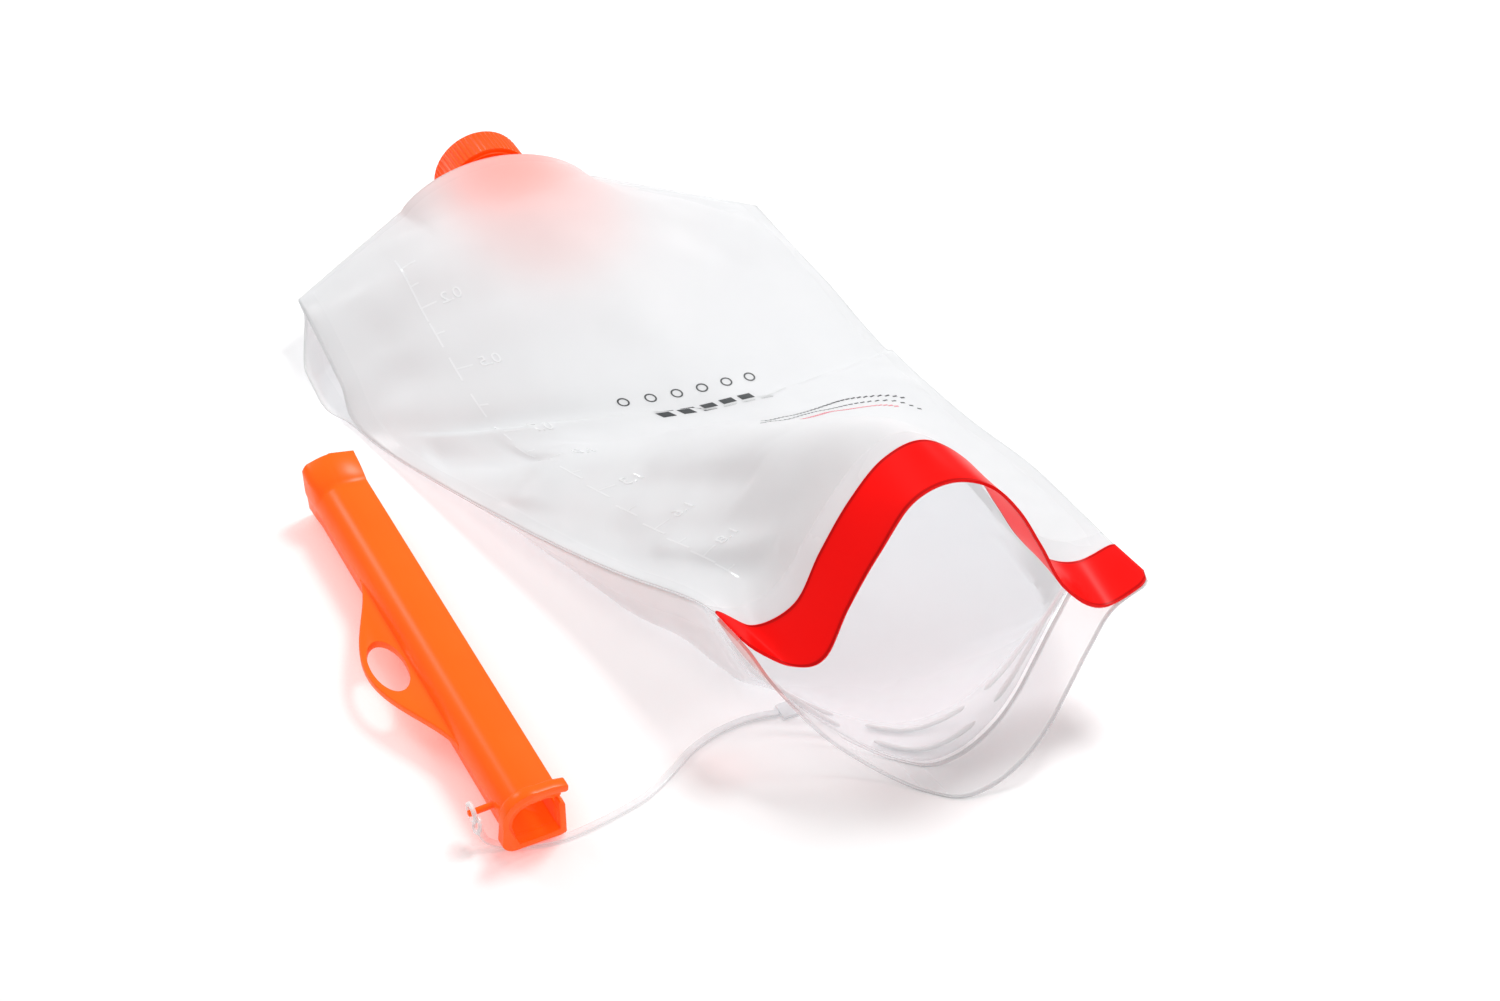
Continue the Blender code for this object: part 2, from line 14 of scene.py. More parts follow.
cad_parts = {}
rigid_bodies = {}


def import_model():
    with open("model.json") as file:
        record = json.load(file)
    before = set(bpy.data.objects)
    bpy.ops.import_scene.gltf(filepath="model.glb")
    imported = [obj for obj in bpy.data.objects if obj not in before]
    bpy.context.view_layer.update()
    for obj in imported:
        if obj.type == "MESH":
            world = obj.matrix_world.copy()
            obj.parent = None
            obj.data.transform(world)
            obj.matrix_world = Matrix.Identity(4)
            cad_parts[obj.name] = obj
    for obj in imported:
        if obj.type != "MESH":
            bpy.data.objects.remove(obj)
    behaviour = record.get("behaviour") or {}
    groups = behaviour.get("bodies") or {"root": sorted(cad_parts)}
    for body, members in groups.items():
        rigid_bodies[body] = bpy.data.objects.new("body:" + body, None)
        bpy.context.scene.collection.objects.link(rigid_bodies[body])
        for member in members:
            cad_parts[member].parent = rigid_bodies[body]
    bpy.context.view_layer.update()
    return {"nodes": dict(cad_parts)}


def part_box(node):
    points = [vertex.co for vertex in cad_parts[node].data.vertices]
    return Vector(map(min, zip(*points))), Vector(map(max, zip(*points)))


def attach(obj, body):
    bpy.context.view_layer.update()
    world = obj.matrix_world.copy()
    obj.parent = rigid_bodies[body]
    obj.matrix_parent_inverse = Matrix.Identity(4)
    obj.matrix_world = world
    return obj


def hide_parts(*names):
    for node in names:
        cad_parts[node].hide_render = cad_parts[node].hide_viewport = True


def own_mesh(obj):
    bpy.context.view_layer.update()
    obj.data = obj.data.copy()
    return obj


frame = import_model()

bl_info = {
    "name": "Hydration Bladder",
    "version": (1, 0, 0),
    "blender": (4, 5, 0),
    "location": "View3D > Sidebar > Bladder",
    "description": "Builds the films, lip bands, port, slide clip and tether of a drinking reservoir",
    "category": "Object",
}

# The bag's shape.
# Each row of the bag runs across it, from the left seam to the right one. A front row is lifted and a
# back row dropped between them: (left, right, lift, lift_power, drop, drop_power).
ROWS = [
    ((-0.114, 0.148, 0.016), (0.081, 0.128, 0.008), (0, 0.012, 0.027), 0.80, (0, 0.010, -0.040), 0.70),
    ((-0.114, 0.122, 0.009), (0.083, 0.092, 0.007), (0, 0.005, 0.023), 0.85, (0, 0.004, -0.040), 0.80),
    ((-0.114, 0.097, 0.002), (0.084, 0.050, 0.006), (0.005, -0.040, 0.015), 0.80, (0, 0, -0.040), 1.00),
    ((-0.095, 0.030, 0.012), (0.086, -0.008, 0.014), (0.002, -0.017, 0.029), 1.30, (0, 0, -0.064), 1.00),
    ((-0.075, -0.032, 0.026), (0.086, -0.055, 0.026), (-0.002, -0.003, 0.046), 2.00, (0, 0, -0.130), 1.00),
    ((-0.062, -0.074, 0.041), (0.081, -0.098, 0.038), (-0.002, 0.006, 0.056), 2.60, (0, -0.014, -0.12), 1.00),
]
REAR_LEFT, REAR_RIGHT = Vector((-0.114, 0.164, 0.020)), Vector((0.080, 0.151, 0.009))
PORT = Vector((-0.0185, 0.2050, 0.0205))
PORT_RISE = Vector((0, 0.0345, PORT.z - 0.0148))
RAMP_LEFT, RAMP_RIGHT = 0.28, 0.29
OPENING_HALF_WIDTH, OPENING_HALF_HEIGHT = 0.0400, 0.0188
EYE_POWER = 0.75
REST_GAP = 0.0003
FLAP = Vector((-0.0085, -0.0110, -0.0080))

# The mouth, from the left ear to the right one.
UPPER_WELD = [
    (-0.059, -0.090, 0.046), (-0.050, -0.101, 0.045), (-0.039, -0.110, 0.058), (-0.029, -0.108, 0.075),
    (-0.017, -0.105, 0.090), (-0.003, -0.102, 0.100), (0.010, -0.105, 0.105), (0.022, -0.113, 0.097),
    (0.030, -0.119, 0.0815), (0.0375, -0.122, 0.0665), (0.048, -0.124, 0.0525), (0.060, -0.126, 0.0475),
    (0.0745, -0.126, 0.050),
]
UPPER_FREE = [
    (-0.0565, -0.110, 0.046), (-0.046, -0.122, 0.042), (-0.037, -0.127, 0.048), (-0.027, -0.124, 0.063),
    (-0.016, -0.121, 0.081), (-0.004, -0.121, 0.097), (0.009, -0.125, 0.104), (0.0185, -0.1315, 0.1035),
    (0.0275, -0.136, 0.0925), (0.035, -0.139, 0.0765), (0.0435, -0.143, 0.0575), (0.058, -0.146, 0.045),
    (0.077, -0.146, 0.050),
]
LOWER_FREE = [
    (-0.0565, -0.110, 0.046), (-0.049, -0.116, 0.030), (-0.038, -0.128, 0.014), (-0.026, -0.141, 0.0045),
    (-0.015, -0.155, 0.0012), (-0.005, -0.164, 0.0012), (0.007, -0.166, 0.0035), (0.019, -0.165, 0.0095),
    (0.030, -0.161, 0.016), (0.041, -0.155, 0.024), (0.051, -0.150, 0.033), (0.062, -0.146, 0.043),
    (0.077, -0.146, 0.050),
]
BAND_CORNER, BAND_ACROSS, BAND_ALONG = 0.0045, 150, 40
EDGE_LINE, EDGE_LINE_WIDTH = 0.030, 0.028
BAND_OUT = Vector((0.125, -0.992, 0)).normalized()

# The width and length of a film laid flat, which turn u and v into metres.
FILM_SIZE = (0.19, 0.30)

# The welded ribs: where each starts and ends across the bag, and how far along it the two rows lie.
RIBS = [("left", 0.06, 0.26), ("middle", 0.32, 0.56), ("right", 0.62, 0.90)]
RIB_ROWS = [("outer", 0.985), ("inner", 0.955)]
RIB_STEPS = 40

# The fold across the front film, as (u, v) points: the near half stands up behind it and hides its foot.
CREASE = [(0.00, 0.431), (0.20, 0.424), (0.40, 0.425), (0.60, 0.436), (0.80, 0.428), (1.00, 0.440)]
CREASE_HEIGHT, CREASE_RUN = 0.0042, 0.020
# Softer folds: (path of (u, v) points, half width in metres, height in metres).
FOLDS = [
    ([(0.02, 0.385), (0.20, 0.380), (0.40, 0.385), (0.60, 0.385), (0.78, 0.390)], 0.0110, 0.0016),
    ([(0.27, 0.47), (0.20, 0.52), (0.13, 0.56), (0.03, 0.60)], 0.0060, 0.0022),
    ([(0.04, 0.47), (0.12, 0.49), (0.20, 0.485)], 0.0110, -0.0024),
    ([(0.20, 0.60), (0.27, 0.68), (0.30, 0.76)], 0.0120, -0.0026),
    ([(0.10, 0.72), (0.16, 0.80), (0.22, 0.87)], 0.0080, 0.0018),
    ([(0.40, 0.48), (0.44, 0.60), (0.42, 0.72)], 0.0140, 0.0012),
    ([(0.95, 0.46), (0.84, 0.56), (0.78, 0.72)], 0.0120, 0.0018),
    ([(0.30, 0.07), (0.22, 0.20), (0.12, 0.34)], 0.0120, 0.0014),
    ([(0.62, 0.06), (0.72, 0.16), (0.86, 0.28)], 0.0120, 0.0018),
    ([(0.76, 0.03), (0.84, 0.05), (0.93, 0.10)], 0.0070, -0.0016),
    ([(0.50, 0.10), (0.55, 0.22), (0.62, 0.36)], 0.0160, 0.0014),
]
MARK_LIFT, INK_THICK = 0.00008, 0.00010
SCALE_SPAN, SCALE_STEPS, RULE_DASHES = (0.16, 0.84), 15, 30
# The middle of the printed rules, as (u, v) points.
RULE_PATH = [(0.47, 0.628), (0.59, 0.577), (0.70, 0.525), (0.80, 0.515), (0.90, 0.560)]

# The port's shape: (radius, y) outlines, turned about its axis.
NECK_PROFILE = [
    (0.0098, 0.1880), (0.0147, 0.1880), (0.0147, 0.1946), (0.0143, 0.1950), (0.0143, 0.2066),
    (0.0139, 0.2070), (0.0098, 0.2070),
]
SOCKET_PROFILE = [
    (0.0, 0.1860), (0.0085, 0.1860), (0.0085, 0.1915), (0.0110, 0.1915), (0.0110, 0.2010), (0.0124, 0.2010),
    (0.0124, 0.2034), (0.0110, 0.2034), (0.0110, 0.2090), (0.0, 0.2090),
]
NECK_SEGMENTS, KNURL_STEPS = 72, 6
FLANGE_HALF, FLANGE_TALL, FLANGE_STEPS = 0.0365, 0.0168, 48
SPRING_WIRE, SPRING_TURNS, SPRING_STEPS = 0.0005, 4, 32

# The clip's shape.
CLIP_X, CLIP_NEAR, CLIP_FAR = -0.1400, -0.1200, 0.0665
CLIP_MIDDLE_Z = 0.0125
LOOP_BOTTOM, LOOP_TOP = 0.0110, 0.0140
LOOP_CENTRE_Y, LOOP_LENGTH = -0.0330, 0.0900
CLIP_LEFT, HOLE_LEFT = -0.0076, -0.0155
PRONG_Y, PRONG_Z, PRONG_END, PRONG_RADIUS = -0.1060, 0.0120, -0.1570, 0.00115

# The eyelet's rings: (radius, centre, lean, flatness), and the tether's middle line.
EYELET_RINGS = [
    (0.0031, (-0.1557, PRONG_Y, PRONG_Z), 0.0, 1.0),
    (0.0024, (-0.1552, PRONG_Y - 0.0030, PRONG_Z - 0.0035), 0.3, 0.9),
]
EYELET_WIRE, EYELET_STEPS, TETHER_STEPS = 0.00085, 40, 70
TETHER_ROUTE = [
    (-0.0410, -0.1020, 0.0011), (-0.0475, -0.1005, 0.0011), (-0.0545, -0.0998, 0.0011),
    (-0.0648, -0.1008, 0.0011), (-0.0755, -0.1042, 0.0011), (-0.0852, -0.1098, 0.0011),
    (-0.0935, -0.1142, 0.0011), (-0.1010, -0.1170, 0.0011), (-0.1155, -0.1195, 0.0011),
    (-0.1290, -0.1203, 0.0011), (-0.1400, -0.1180, 0.0011), (-0.1480, -0.1148, 0.0012),
    (-0.1532, -0.1120, 0.0030), (-0.1550, -0.1098, 0.0068),
]


def lerp(a, b, t):
    return a + (b - a) * t


def clamp(value, low=0.0, high=1.0):
    return max(low, min(high, value))


def smoothstep(low, high, value):
    t = clamp((value - low) / (high - low))
    return t * t * (3 - 2 * t)


def smooth_through(points, t):
    """A point of the Catmull-Rom curve through these points, t running from 0 to the last index."""
    i = min(int(t), len(points) - 2)
    f = t - i
    p1, p2 = points[i], points[i + 1]
    p0 = points[i - 1] if i > 0 else p1 * 2 - p2
    p3 = points[i + 2] if i + 2 < len(points) else p2 * 2 - p1
    return (
        p1 * 2 + (p2 - p0) * f + (p0 * 2 - p1 * 5 + p2 * 4 - p3) * f**2
        + (p1 * 3 - p0 - p2 * 3 + p3) * f**3
    ) / 2


def along_lip(stations, u):
    return smooth_through([Vector(point) for point in stations], clamp(u) * (len(stations) - 1))


def hump(u, power):
    return max(0.0, math.sin(math.pi * u)) ** power


def eye(x, half_width):
    """The pointed oval of the welded port, 1 at its middle and 0 at its two tips."""
    return max(0.0, 1 - (x / half_width) ** 2) ** EYE_POWER


def film_rows(u, side, thickness):
    """The points that one film passes through, from the rear seam to the mouth, at u across it."""
    point = REAR_LEFT.lerp(REAR_RIGHT, u) + PORT_RISE * min(1.0, u / RAMP_LEFT, (1 - u) / RAMP_RIGHT)
    point.z += side * OPENING_HALF_HEIGHT * eye(point.x - PORT.x, OPENING_HALF_WIDTH)
    rows = [point]
    for left, right, lift, lift_power, drop, drop_power in ROWS:
        point = Vector(left).lerp(Vector(right), u)
        if side > 0:
            point += Vector(lift) * hump(u, lift_power)
        else:
            point += Vector(drop) * hump(u, drop_power)
            point.z = max(point.z, thickness + REST_GAP)
        rows.append(point)
    if side > 0:
        rows.append(along_lip(UPPER_WELD, u))
    else:
        rows.append(along_lip(LOWER_FREE, u) - BAND_OUT * bladder("bands").width)
    return rows


def distance_to_path(place, path):
    """How far a point is from a path, and how far along the path it is, from 0 to 1."""
    best, where = 1.0, 0.0
    for i, (start, end) in enumerate(zip(path, path[1:])):
        along = end - start
        t = clamp((place - start).dot(along) / along.length_squared)
        gap = (place - start - along * t).length
        if gap < best:
            best, where = gap, (i + t) / (len(path) - 1)
    return best, where


def flat_place(u, v):
    """The film's own (u, v) in metres, as if it lay flat."""
    return Vector((u * FILM_SIZE[0], v * FILM_SIZE[1]))


def seam_distance(u, v):
    """How far the nearest welded edge is, in metres."""
    return min(u * FILM_SIZE[0], (1 - u) * FILM_SIZE[0], v * FILM_SIZE[1])


FLAT_FOLDS = [([flat_place(u, v) for u, v in path], width, height) for path, width, height in FOLDS]


def crease_rise(u, v):
    """The sudden step of the fold across the front film, dying away towards the mouth."""
    line = smooth_through([Vector(place) for place in CREASE], u * (len(CREASE) - 1))
    past = (v - line.y) * FILM_SIZE[1]
    reach = smoothstep(0.03, 0.30, u) * lerp(1.0, 0.35, smoothstep(0.62, 0.97, u))
    step = smoothstep(-0.0010, 0.0006, past) * math.exp(-max(0.0, past) / CREASE_RUN)
    dip = 0.25 * math.exp(-(((past + 0.0040) / 0.0045) ** 2))
    return CREASE_HEIGHT * reach * (step - dip)


def relief(u, v, side, point):
    """How far the film stands off its smooth shape: folds, soft dents, and puckers along the seams."""
    seam = seam_distance(u, v)
    inside = smoothstep(0.0, 0.012, seam) * smoothstep(0.0, 0.07, 1 - v)
    rise = 0.0009 * noise.noise(point * 28.0) * inside
    rise += 0.00035 * noise.noise(point * 70.0 + Vector((5.0, 1.0, 2.0))) * inside
    pucker = math.exp(-seam / 0.014) * smoothstep(0.0, 0.004, seam)
    rise += 0.0007 * pucker * noise.noise(Vector((point.x * 60.0, point.y * 60.0, 3.0 * side)))
    if side > 0:
        rise += crease_rise(u, v)
        place = flat_place(u, v)
        for path, width, height in FLAT_FOLDS:
            gap, along = distance_to_path(place, path)
            if gap < 3 * width:
                ends = smoothstep(0.0, 0.15, along) * smoothstep(0.0, 0.15, 1 - along)
                rise += height * math.exp(-((gap / width) ** 2)) * lerp(0.25, 1.0, ends)
    return rise


def flap(u, v):
    """The back film's left margin, which slips out under the front one between the rear and the fold."""
    return FLAP * smoothstep(0.10, 0.0, u) * smoothstep(0.06, 0.15, v) * smoothstep(0.43, 0.22, v)


class FilmShape:
    """One film of the bag as a fine grid of points, read anywhere by u across and v from rear to mouth."""

    def __init__(self, side, across, along, thickness):
        self.side, self.across, self.along = side, across, along
        self.points = []
        for i in range(across + 1):
            rows = film_rows(i / across, side, thickness)
            column = []
            for j in range(along + 1):
                point = smooth_through(rows, j / along * (len(rows) - 1))
                point.z += side * bladder("film").seam_gap / 2
                if side < 0:
                    point += flap(i / across, j / along)
                column.append(point)
            self.points.append(column)
        normals = [[self.normal(i / across, j / along) for j in range(along + 1)] for i in range(across + 1)]
        for i, column in enumerate(self.points):
            for j, point in enumerate(column):
                point += normals[i][j] * relief(i / across, j / along, side, point)
                if side < 0:
                    point.z = max(point.z, thickness + REST_GAP)

    def read(self, u, v):
        x, y = clamp(u) * self.across, clamp(v) * self.along
        i, j = min(int(x), self.across - 1), min(int(y), self.along - 1)
        a = self.points[i][j].lerp(self.points[i + 1][j], x - i)
        b = self.points[i][j + 1].lerp(self.points[i + 1][j + 1], x - i)
        return a.lerp(b, y - j)

    def slopes(self, u, v):
        """How the film moves for a step of u and a step of v, in metres."""
        step = 1.0 / self.across
        u0, u1, v0, v1 = clamp(u - step), clamp(u + step), clamp(v - step), clamp(v + step)
        return (
            (self.read(u1, v) - self.read(u0, v)) / (u1 - u0),
            (self.read(u, v1) - self.read(u, v0)) / (v1 - v0),
        )

    def normal(self, u, v):
        """The normal out of the bag."""
        du, dv = self.slopes(u, v)
        normal = du.cross(dv).normalized()
        return normal if normal.z * self.side > 0 else -normal

    def place(self, u, v, x, y, lift):
        """A point x, y metres from (u, v) on the film, lifted off it."""
        du, dv = self.slopes(u, v)
        u, v = u + x / du.length, v + y / dv.length
        return self.read(u, v) + self.normal(u, v) * lift


# Settings.
def length_setting(name, description, default):
    return FloatProperty(name=name, description=description, default=default, unit="LENGTH")


def colour_setting(name, description, default):
    return FloatVectorProperty(name=name, description=description, default=default, subtype="COLOR", size=3)


def power_setting(name, description, default):
    return FloatProperty(name=name, description=description, default=default, unit="POWER")


def count_setting(name, description, default):
    return IntProperty(name=name, description=description, default=default, min=12)


class FilmSettings(bpy.types.PropertyGroup):
    thickness: length_setting("Thickness", "Thickness of each film", 0.0004)
    seam_gap: length_setting("Seam gap", "Gap between the films at a seam", 0.0003)
    weld_width: length_setting("Weld width", "Width of the welded margin", 0.0065)
    colour: colour_setting("Colour", "Frosted film", (0.80, 0.803, 0.806))
    across: count_setting("Columns", "Grid columns of a film", 132)
    along: count_setting("Rows", "Grid rows of a film", 210)


class BandSettings(bpy.types.PropertyGroup):
    width: length_setting("Width", "Width of a lip band", 0.020)
    thickness: length_setting("Thickness", "Thickness of a lip band", 0.0011)
    rib_radius: length_setting("Rib radius", "Half width of a welded rib", 0.0009)
    red: colour_setting("Red", "Front band", (1.0, 0.002, 0.002))
    clear: colour_setting("Clear", "Back band and ribs", (0.97, 0.975, 0.98))


class PortSettings(bpy.types.PropertyGroup):
    radius: length_setting("Collar radius", "Outer radius of the collar", 0.0190)
    knurls: count_setting("Knurls", "Flutes round the collar", 60)
    knurl_depth: length_setting("Knurl depth", "Depth of a flute", 0.0005)
    orange: colour_setting("Orange", "Port and collar", (1.0, 0.085, 0.0))


class ClipSettings(bpy.types.PropertyGroup):
    edge: length_setting("Edge radius", "Rounding of the clip's edges", 0.0002)
    hole_width: length_setting("Hole width", "Width of the finger hole", 0.0122)
    hole_length: length_setting("Hole length", "Length of the finger hole", 0.0262)
    orange: colour_setting("Orange", "Clip", (1.0, 0.165, 0.0))


class TetherSettings(bpy.types.PropertyGroup):
    width: length_setting("Width", "Width of the strap", 0.0028)
    thickness: length_setting("Thickness", "Thickness of the strap", 0.0010)


class StageSettings(bpy.types.PropertyGroup):
    floor_size: length_setting("Floor size", "Side of the floor", 6.0)
    key_watts: power_setting("Key light", "Power of the light above the right", 12.6)
    fill_watts: power_setting("Fill light", "Power of the light behind the left", 3.8)
    sky: FloatProperty(name="Sky", description="Strength of the surrounding light", default=0.63)


SETTINGS = {
    "film": FilmSettings,
    "bands": BandSettings,
    "port": PortSettings,
    "clip": ClipSettings,
    "tether": TetherSettings,
    "stage": StageSettings,
}


def bladder(group):
    """One group of the scene's settings."""
    return getattr(bpy.context.scene, f"bladder_{group}")


# Meshes.
def new_object(name, data, material):
    obj = bpy.data.objects.new(name, data)
    bpy.context.scene.collection.objects.link(obj)
    if material is not None:
        data.materials.append(material)
    return obj


def mesh_piece(name, bm, material, sharp=35, recalc=True):
    if recalc:
        bmesh.ops.recalc_face_normals(bm, faces=bm.faces[:])
    mesh = bpy.data.meshes.new(name)
    bm.to_mesh(mesh)
    bm.free()
    mesh.shade_smooth()
    mesh.set_sharp_from_angle(angle=math.radians(sharp))
    return new_object(name, mesh, material)


def finished(obj, helpers=()):
    """Makes the object's modifiers part of its mesh and removes the shapes they used."""
    graph = bpy.context.evaluated_depsgraph_get()
    graph.update()
    mesh = bpy.data.meshes.new_from_object(obj.evaluated_get(graph), depsgraph=graph)
    old = obj.data
    obj.modifiers.clear()
    if obj.type != "MESH":
        name, materials = obj.name, [slot.material for slot in obj.material_slots]
        bpy.data.objects.remove(obj, do_unlink=True)
        obj = new_object(name, mesh, None)
        if not mesh.materials:
            for material in materials:
                mesh.materials.append(material)
    else:
        obj.data = mesh
    bpy.data.batch_remove([old])
    for helper in helpers:
        bpy.data.objects.remove(helper, do_unlink=True)
    return obj


def joined(obj, others, operation="UNION"):
    """The object with closed helper shapes added to it or cut from it."""
    for other in others:
        boolean = obj.modifiers.new(other.name, "BOOLEAN")
        boolean.operation = operation
        boolean.object = other
        boolean.solver = "EXACT"
    return finished(obj, others)


def rounded(obj, width, segments=2, angle=40):
    bevel = obj.modifiers.new("Edges", "BEVEL")
    bevel.width = width
    bevel.segments = segments
    bevel.limit_method = "ANGLE"
    bevel.angle_limit = math.radians(angle)
    bevel.miter_outer = "MITER_ARC"
    return obj


def sheet_piece(name, point_at, across, along, thickness, side, material, marks=None):
    """A grid laid on point_at(u, v) and thickened outwards, with float marks at its points."""
    bm = bmesh.new()
    uv = bm.loops.layers.uv.new("UVMap")
    bmesh.ops.create_grid(bm, x_segments=across, y_segments=along, size=0.5)
    layers = {mark: bm.verts.layers.float.new(mark) for mark in (marks or {})}
    places = {vert: (vert.co.x + 0.5, vert.co.y + 0.5) for vert in bm.verts}
    for vert, (u, v) in places.items():
        vert.co = point_at(u, v)
        for mark, layer in layers.items():
            vert[layer] = marks[mark](u, v, vert.co)
    for face in bm.faces:
        for loop in face.loops:
            loop[uv].uv = places[loop.vert]
    bm.normal_update()
    if sum(face.normal.z for face in bm.faces) * side < 0:
        bmesh.ops.reverse_faces(bm, faces=bm.faces[:])
    obj = mesh_piece(name, bm, material, sharp=60, recalc=False)
    shell = obj.modifiers.new("Thickness", "SOLIDIFY")
    shell.thickness = thickness
    shell.offset = 1
    return obj


def tube_piece(name, points, radius, material, resolution=3, flatten=None):
    """A round tube through the points; flatten turns it into a strap of that thickness."""
    curve = bpy.data.curves.new(name, "CURVE")
    curve.dimensions = "3D"
    curve.use_fill_caps = True
    curve.bevel_resolution = resolution
    if flatten is None:
        curve.bevel_depth = radius
    else:
        curve.twist_mode = "Z_UP"
        curve.bevel_depth = flatten / 2
        curve.extrude = radius - flatten / 2
    spline = curve.splines.new("POLY")
    spline.points.add(len(points) - 1)
    for knot, point in zip(spline.points, points):
        knot.co = (*point, 1)
        if flatten is not None:
            knot.tilt = math.radians(90)
    return new_object(name, curve, material)


def turned(profile, segments):
    """A mesh turned about the Y axis from a closed outline of (radius, y) points."""
    bm = bmesh.new()
    verts = [bm.verts.new((radius, y, 0)) for radius, y in profile]
    edges = [bm.edges.new((a, b)) for a, b in zip(verts, verts[1:] + verts[:1])]
    bmesh.ops.spin(
        bm, geom=verts + edges, cent=(0, 0, 0), axis=(0, 1, 0), angle=2 * math.pi,
        steps=segments, use_merge=True, use_duplicate=False,
    )
    bmesh.ops.remove_doubles(bm, verts=bm.verts[:], dist=1e-6)
    bmesh.ops.dissolve_degenerate(bm, dist=1e-6, edges=bm.edges[:])
    return bm


def shifted(bm, by):
    bmesh.ops.translate(bm, verts=bm.verts[:], vec=by)
    return bm


def stretched(bm, by):
    bmesh.ops.scale(bm, verts=bm.verts[:], vec=by)
    return bm


def swung(bm, degrees, axis):
    bmesh.ops.rotate(bm, verts=bm.verts[:], matrix=Matrix.Rotation(math.radians(degrees), 3, axis))
    return bm


def softened(bm, edges, width, segments):
    bmesh.ops.bevel(
        bm, geom=edges, offset=width, offset_type="OFFSET", segments=segments, profile=0.5,
        affect="EDGES", material=-1, clamp_overlap=True,
    )
    return bm


def rod(radius, depth, segments):
    """A closed cylinder about the Z axis."""
    bm = bmesh.new()
    bmesh.ops.create_cone(bm, cap_ends=True, segments=segments, radius1=radius, radius2=radius, depth=depth)
    return bm


def to_port(bm):
    return shifted(bm, (PORT.x, 0, PORT.z))


def prism(outline, stations, place):
    """A closed outline of 2-D points extruded through stations; place(a, b, station) gives x, y, z."""
    bm = bmesh.new()
    ring = [bm.verts.new(place(a, b, stations[0])) for a, b in outline]
    face = bm.faces.new(ring)
    for number, station in enumerate(stations[1:]):
        moved = bmesh.ops.extrude_face_region(bm, geom=[face])["geom"]
        fresh = {item for item in moved if isinstance(item, bmesh.types.BMVert)}
        if number:
            bmesh.ops.delete(bm, geom=[face], context="FACES_ONLY")
        face = next(item for item in moved if isinstance(item, bmesh.types.BMFace))
        ring = [
            next(edge.other_vert(old) for edge in old.link_edges if edge.other_vert(old) in fresh)
            for old in ring
        ]
        for vert, (a, b) in zip(ring, outline):
            vert.co = place(a, b, station)
    bmesh.ops.recalc_face_normals(bm, faces=bm.faces[:])
    return bm


def arc(centre, radius, start, end, steps):
    """Points on an arc, in degrees from start to end."""
    points = []
    for i in range(steps + 1):
        angle = math.radians(lerp(start, end, i / steps))
        points.append((centre[0] + radius * math.cos(angle), centre[1] + radius * math.sin(angle)))
    return points


def box(size, middle, edge=0.0):
    bm = bmesh.new()
    bmesh.ops.create_cube(bm, size=1)
    stretched(bm, size)
    if edge:
        softened(bm, bm.edges[:], edge, 2)
    return shifted(bm, middle)


# Materials.
SURFACE_INPUTS = {
    "Colour": (0.8, 0.8, 0.8, 1), "Drift Colour": (0.7, 0.7, 0.7, 1), "Drift": 0.3, "Roughness": 0.35,
    "Roughness Spread": 0.1, "Grain Scale": 900.0, "Grain Height": 0.1,
}
DRIFT_SCALE, DRIFT_DETAIL, GRAIN_DETAIL = 26.0, 3.0, 4.0
BUMP_DISTANCE = 0.0004


def moulded_surface_group():
    """Fine grain, slow colour drift and small scuffs, shared by every plastic and film here."""
    name = "moulded_surface"
    if name in bpy.data.node_groups:
        return bpy.data.node_groups[name]
    group = bpy.data.node_groups.new(name, "ShaderNodeTree")
    group.interface.new_socket("Vector", in_out="INPUT", socket_type="NodeSocketVector")
    for label, default in SURFACE_INPUTS.items():
        kind = "NodeSocketFloat" if isinstance(default, float) else "NodeSocketColor"
        group.interface.new_socket(label, in_out="INPUT", socket_type=kind).default_value = default
    for label, kind in (("Colour", "Color"), ("Roughness", "Float"), ("Height", "Float")):
        group.interface.new_socket(label, in_out="OUTPUT", socket_type="NodeSocket" + kind)
    nodes = group.nodes
    source, sink = nodes.new("NodeGroupInput").outputs, nodes.new("NodeGroupOutput").inputs
    slow, grain, tint = (nodes.new("ShaderNode" + kind) for kind in ("TexNoise", "TexNoise", "Mix"))
    slow.inputs["Scale"].default_value = DRIFT_SCALE
    slow.inputs["Detail"].default_value = DRIFT_DETAIL
    grain.inputs["Detail"].default_value = GRAIN_DETAIL
    tint.data_type = "RGBA"
    drift, spread, rough, height = (nodes.new("ShaderNodeMath") for _ in range(4))
    drift.operation = height.operation = "MULTIPLY"
    spread.operation, rough.operation = "SUBTRACT", "MULTIPLY_ADD"
    spread.inputs[1].default_value = 0.5
    for start, end in (
        (source["Vector"], slow.inputs["Vector"]), (source["Vector"], grain.inputs["Vector"]),
        (source["Grain Scale"], grain.inputs["Scale"]), (slow.outputs["Fac"], drift.inputs[0]),
        (source["Drift"], drift.inputs[1]), (drift.outputs[0], tint.inputs["Factor"]),
        (source["Colour"], tint.inputs["A"]), (source["Drift Colour"], tint.inputs["B"]),
        (slow.outputs["Fac"], spread.inputs[0]), (spread.outputs[0], rough.inputs[0]),
        (source["Roughness Spread"], rough.inputs[1]), (source["Roughness"], rough.inputs[2]),
        (grain.outputs["Fac"], height.inputs[0]), (source["Grain Height"], height.inputs[1]),
        (tint.outputs["Result"], sink["Colour"]), (rough.outputs[0], sink["Roughness"]),
        (height.outputs[0], sink["Height"]),
    ):
        group.links.new(start, end)
    return group


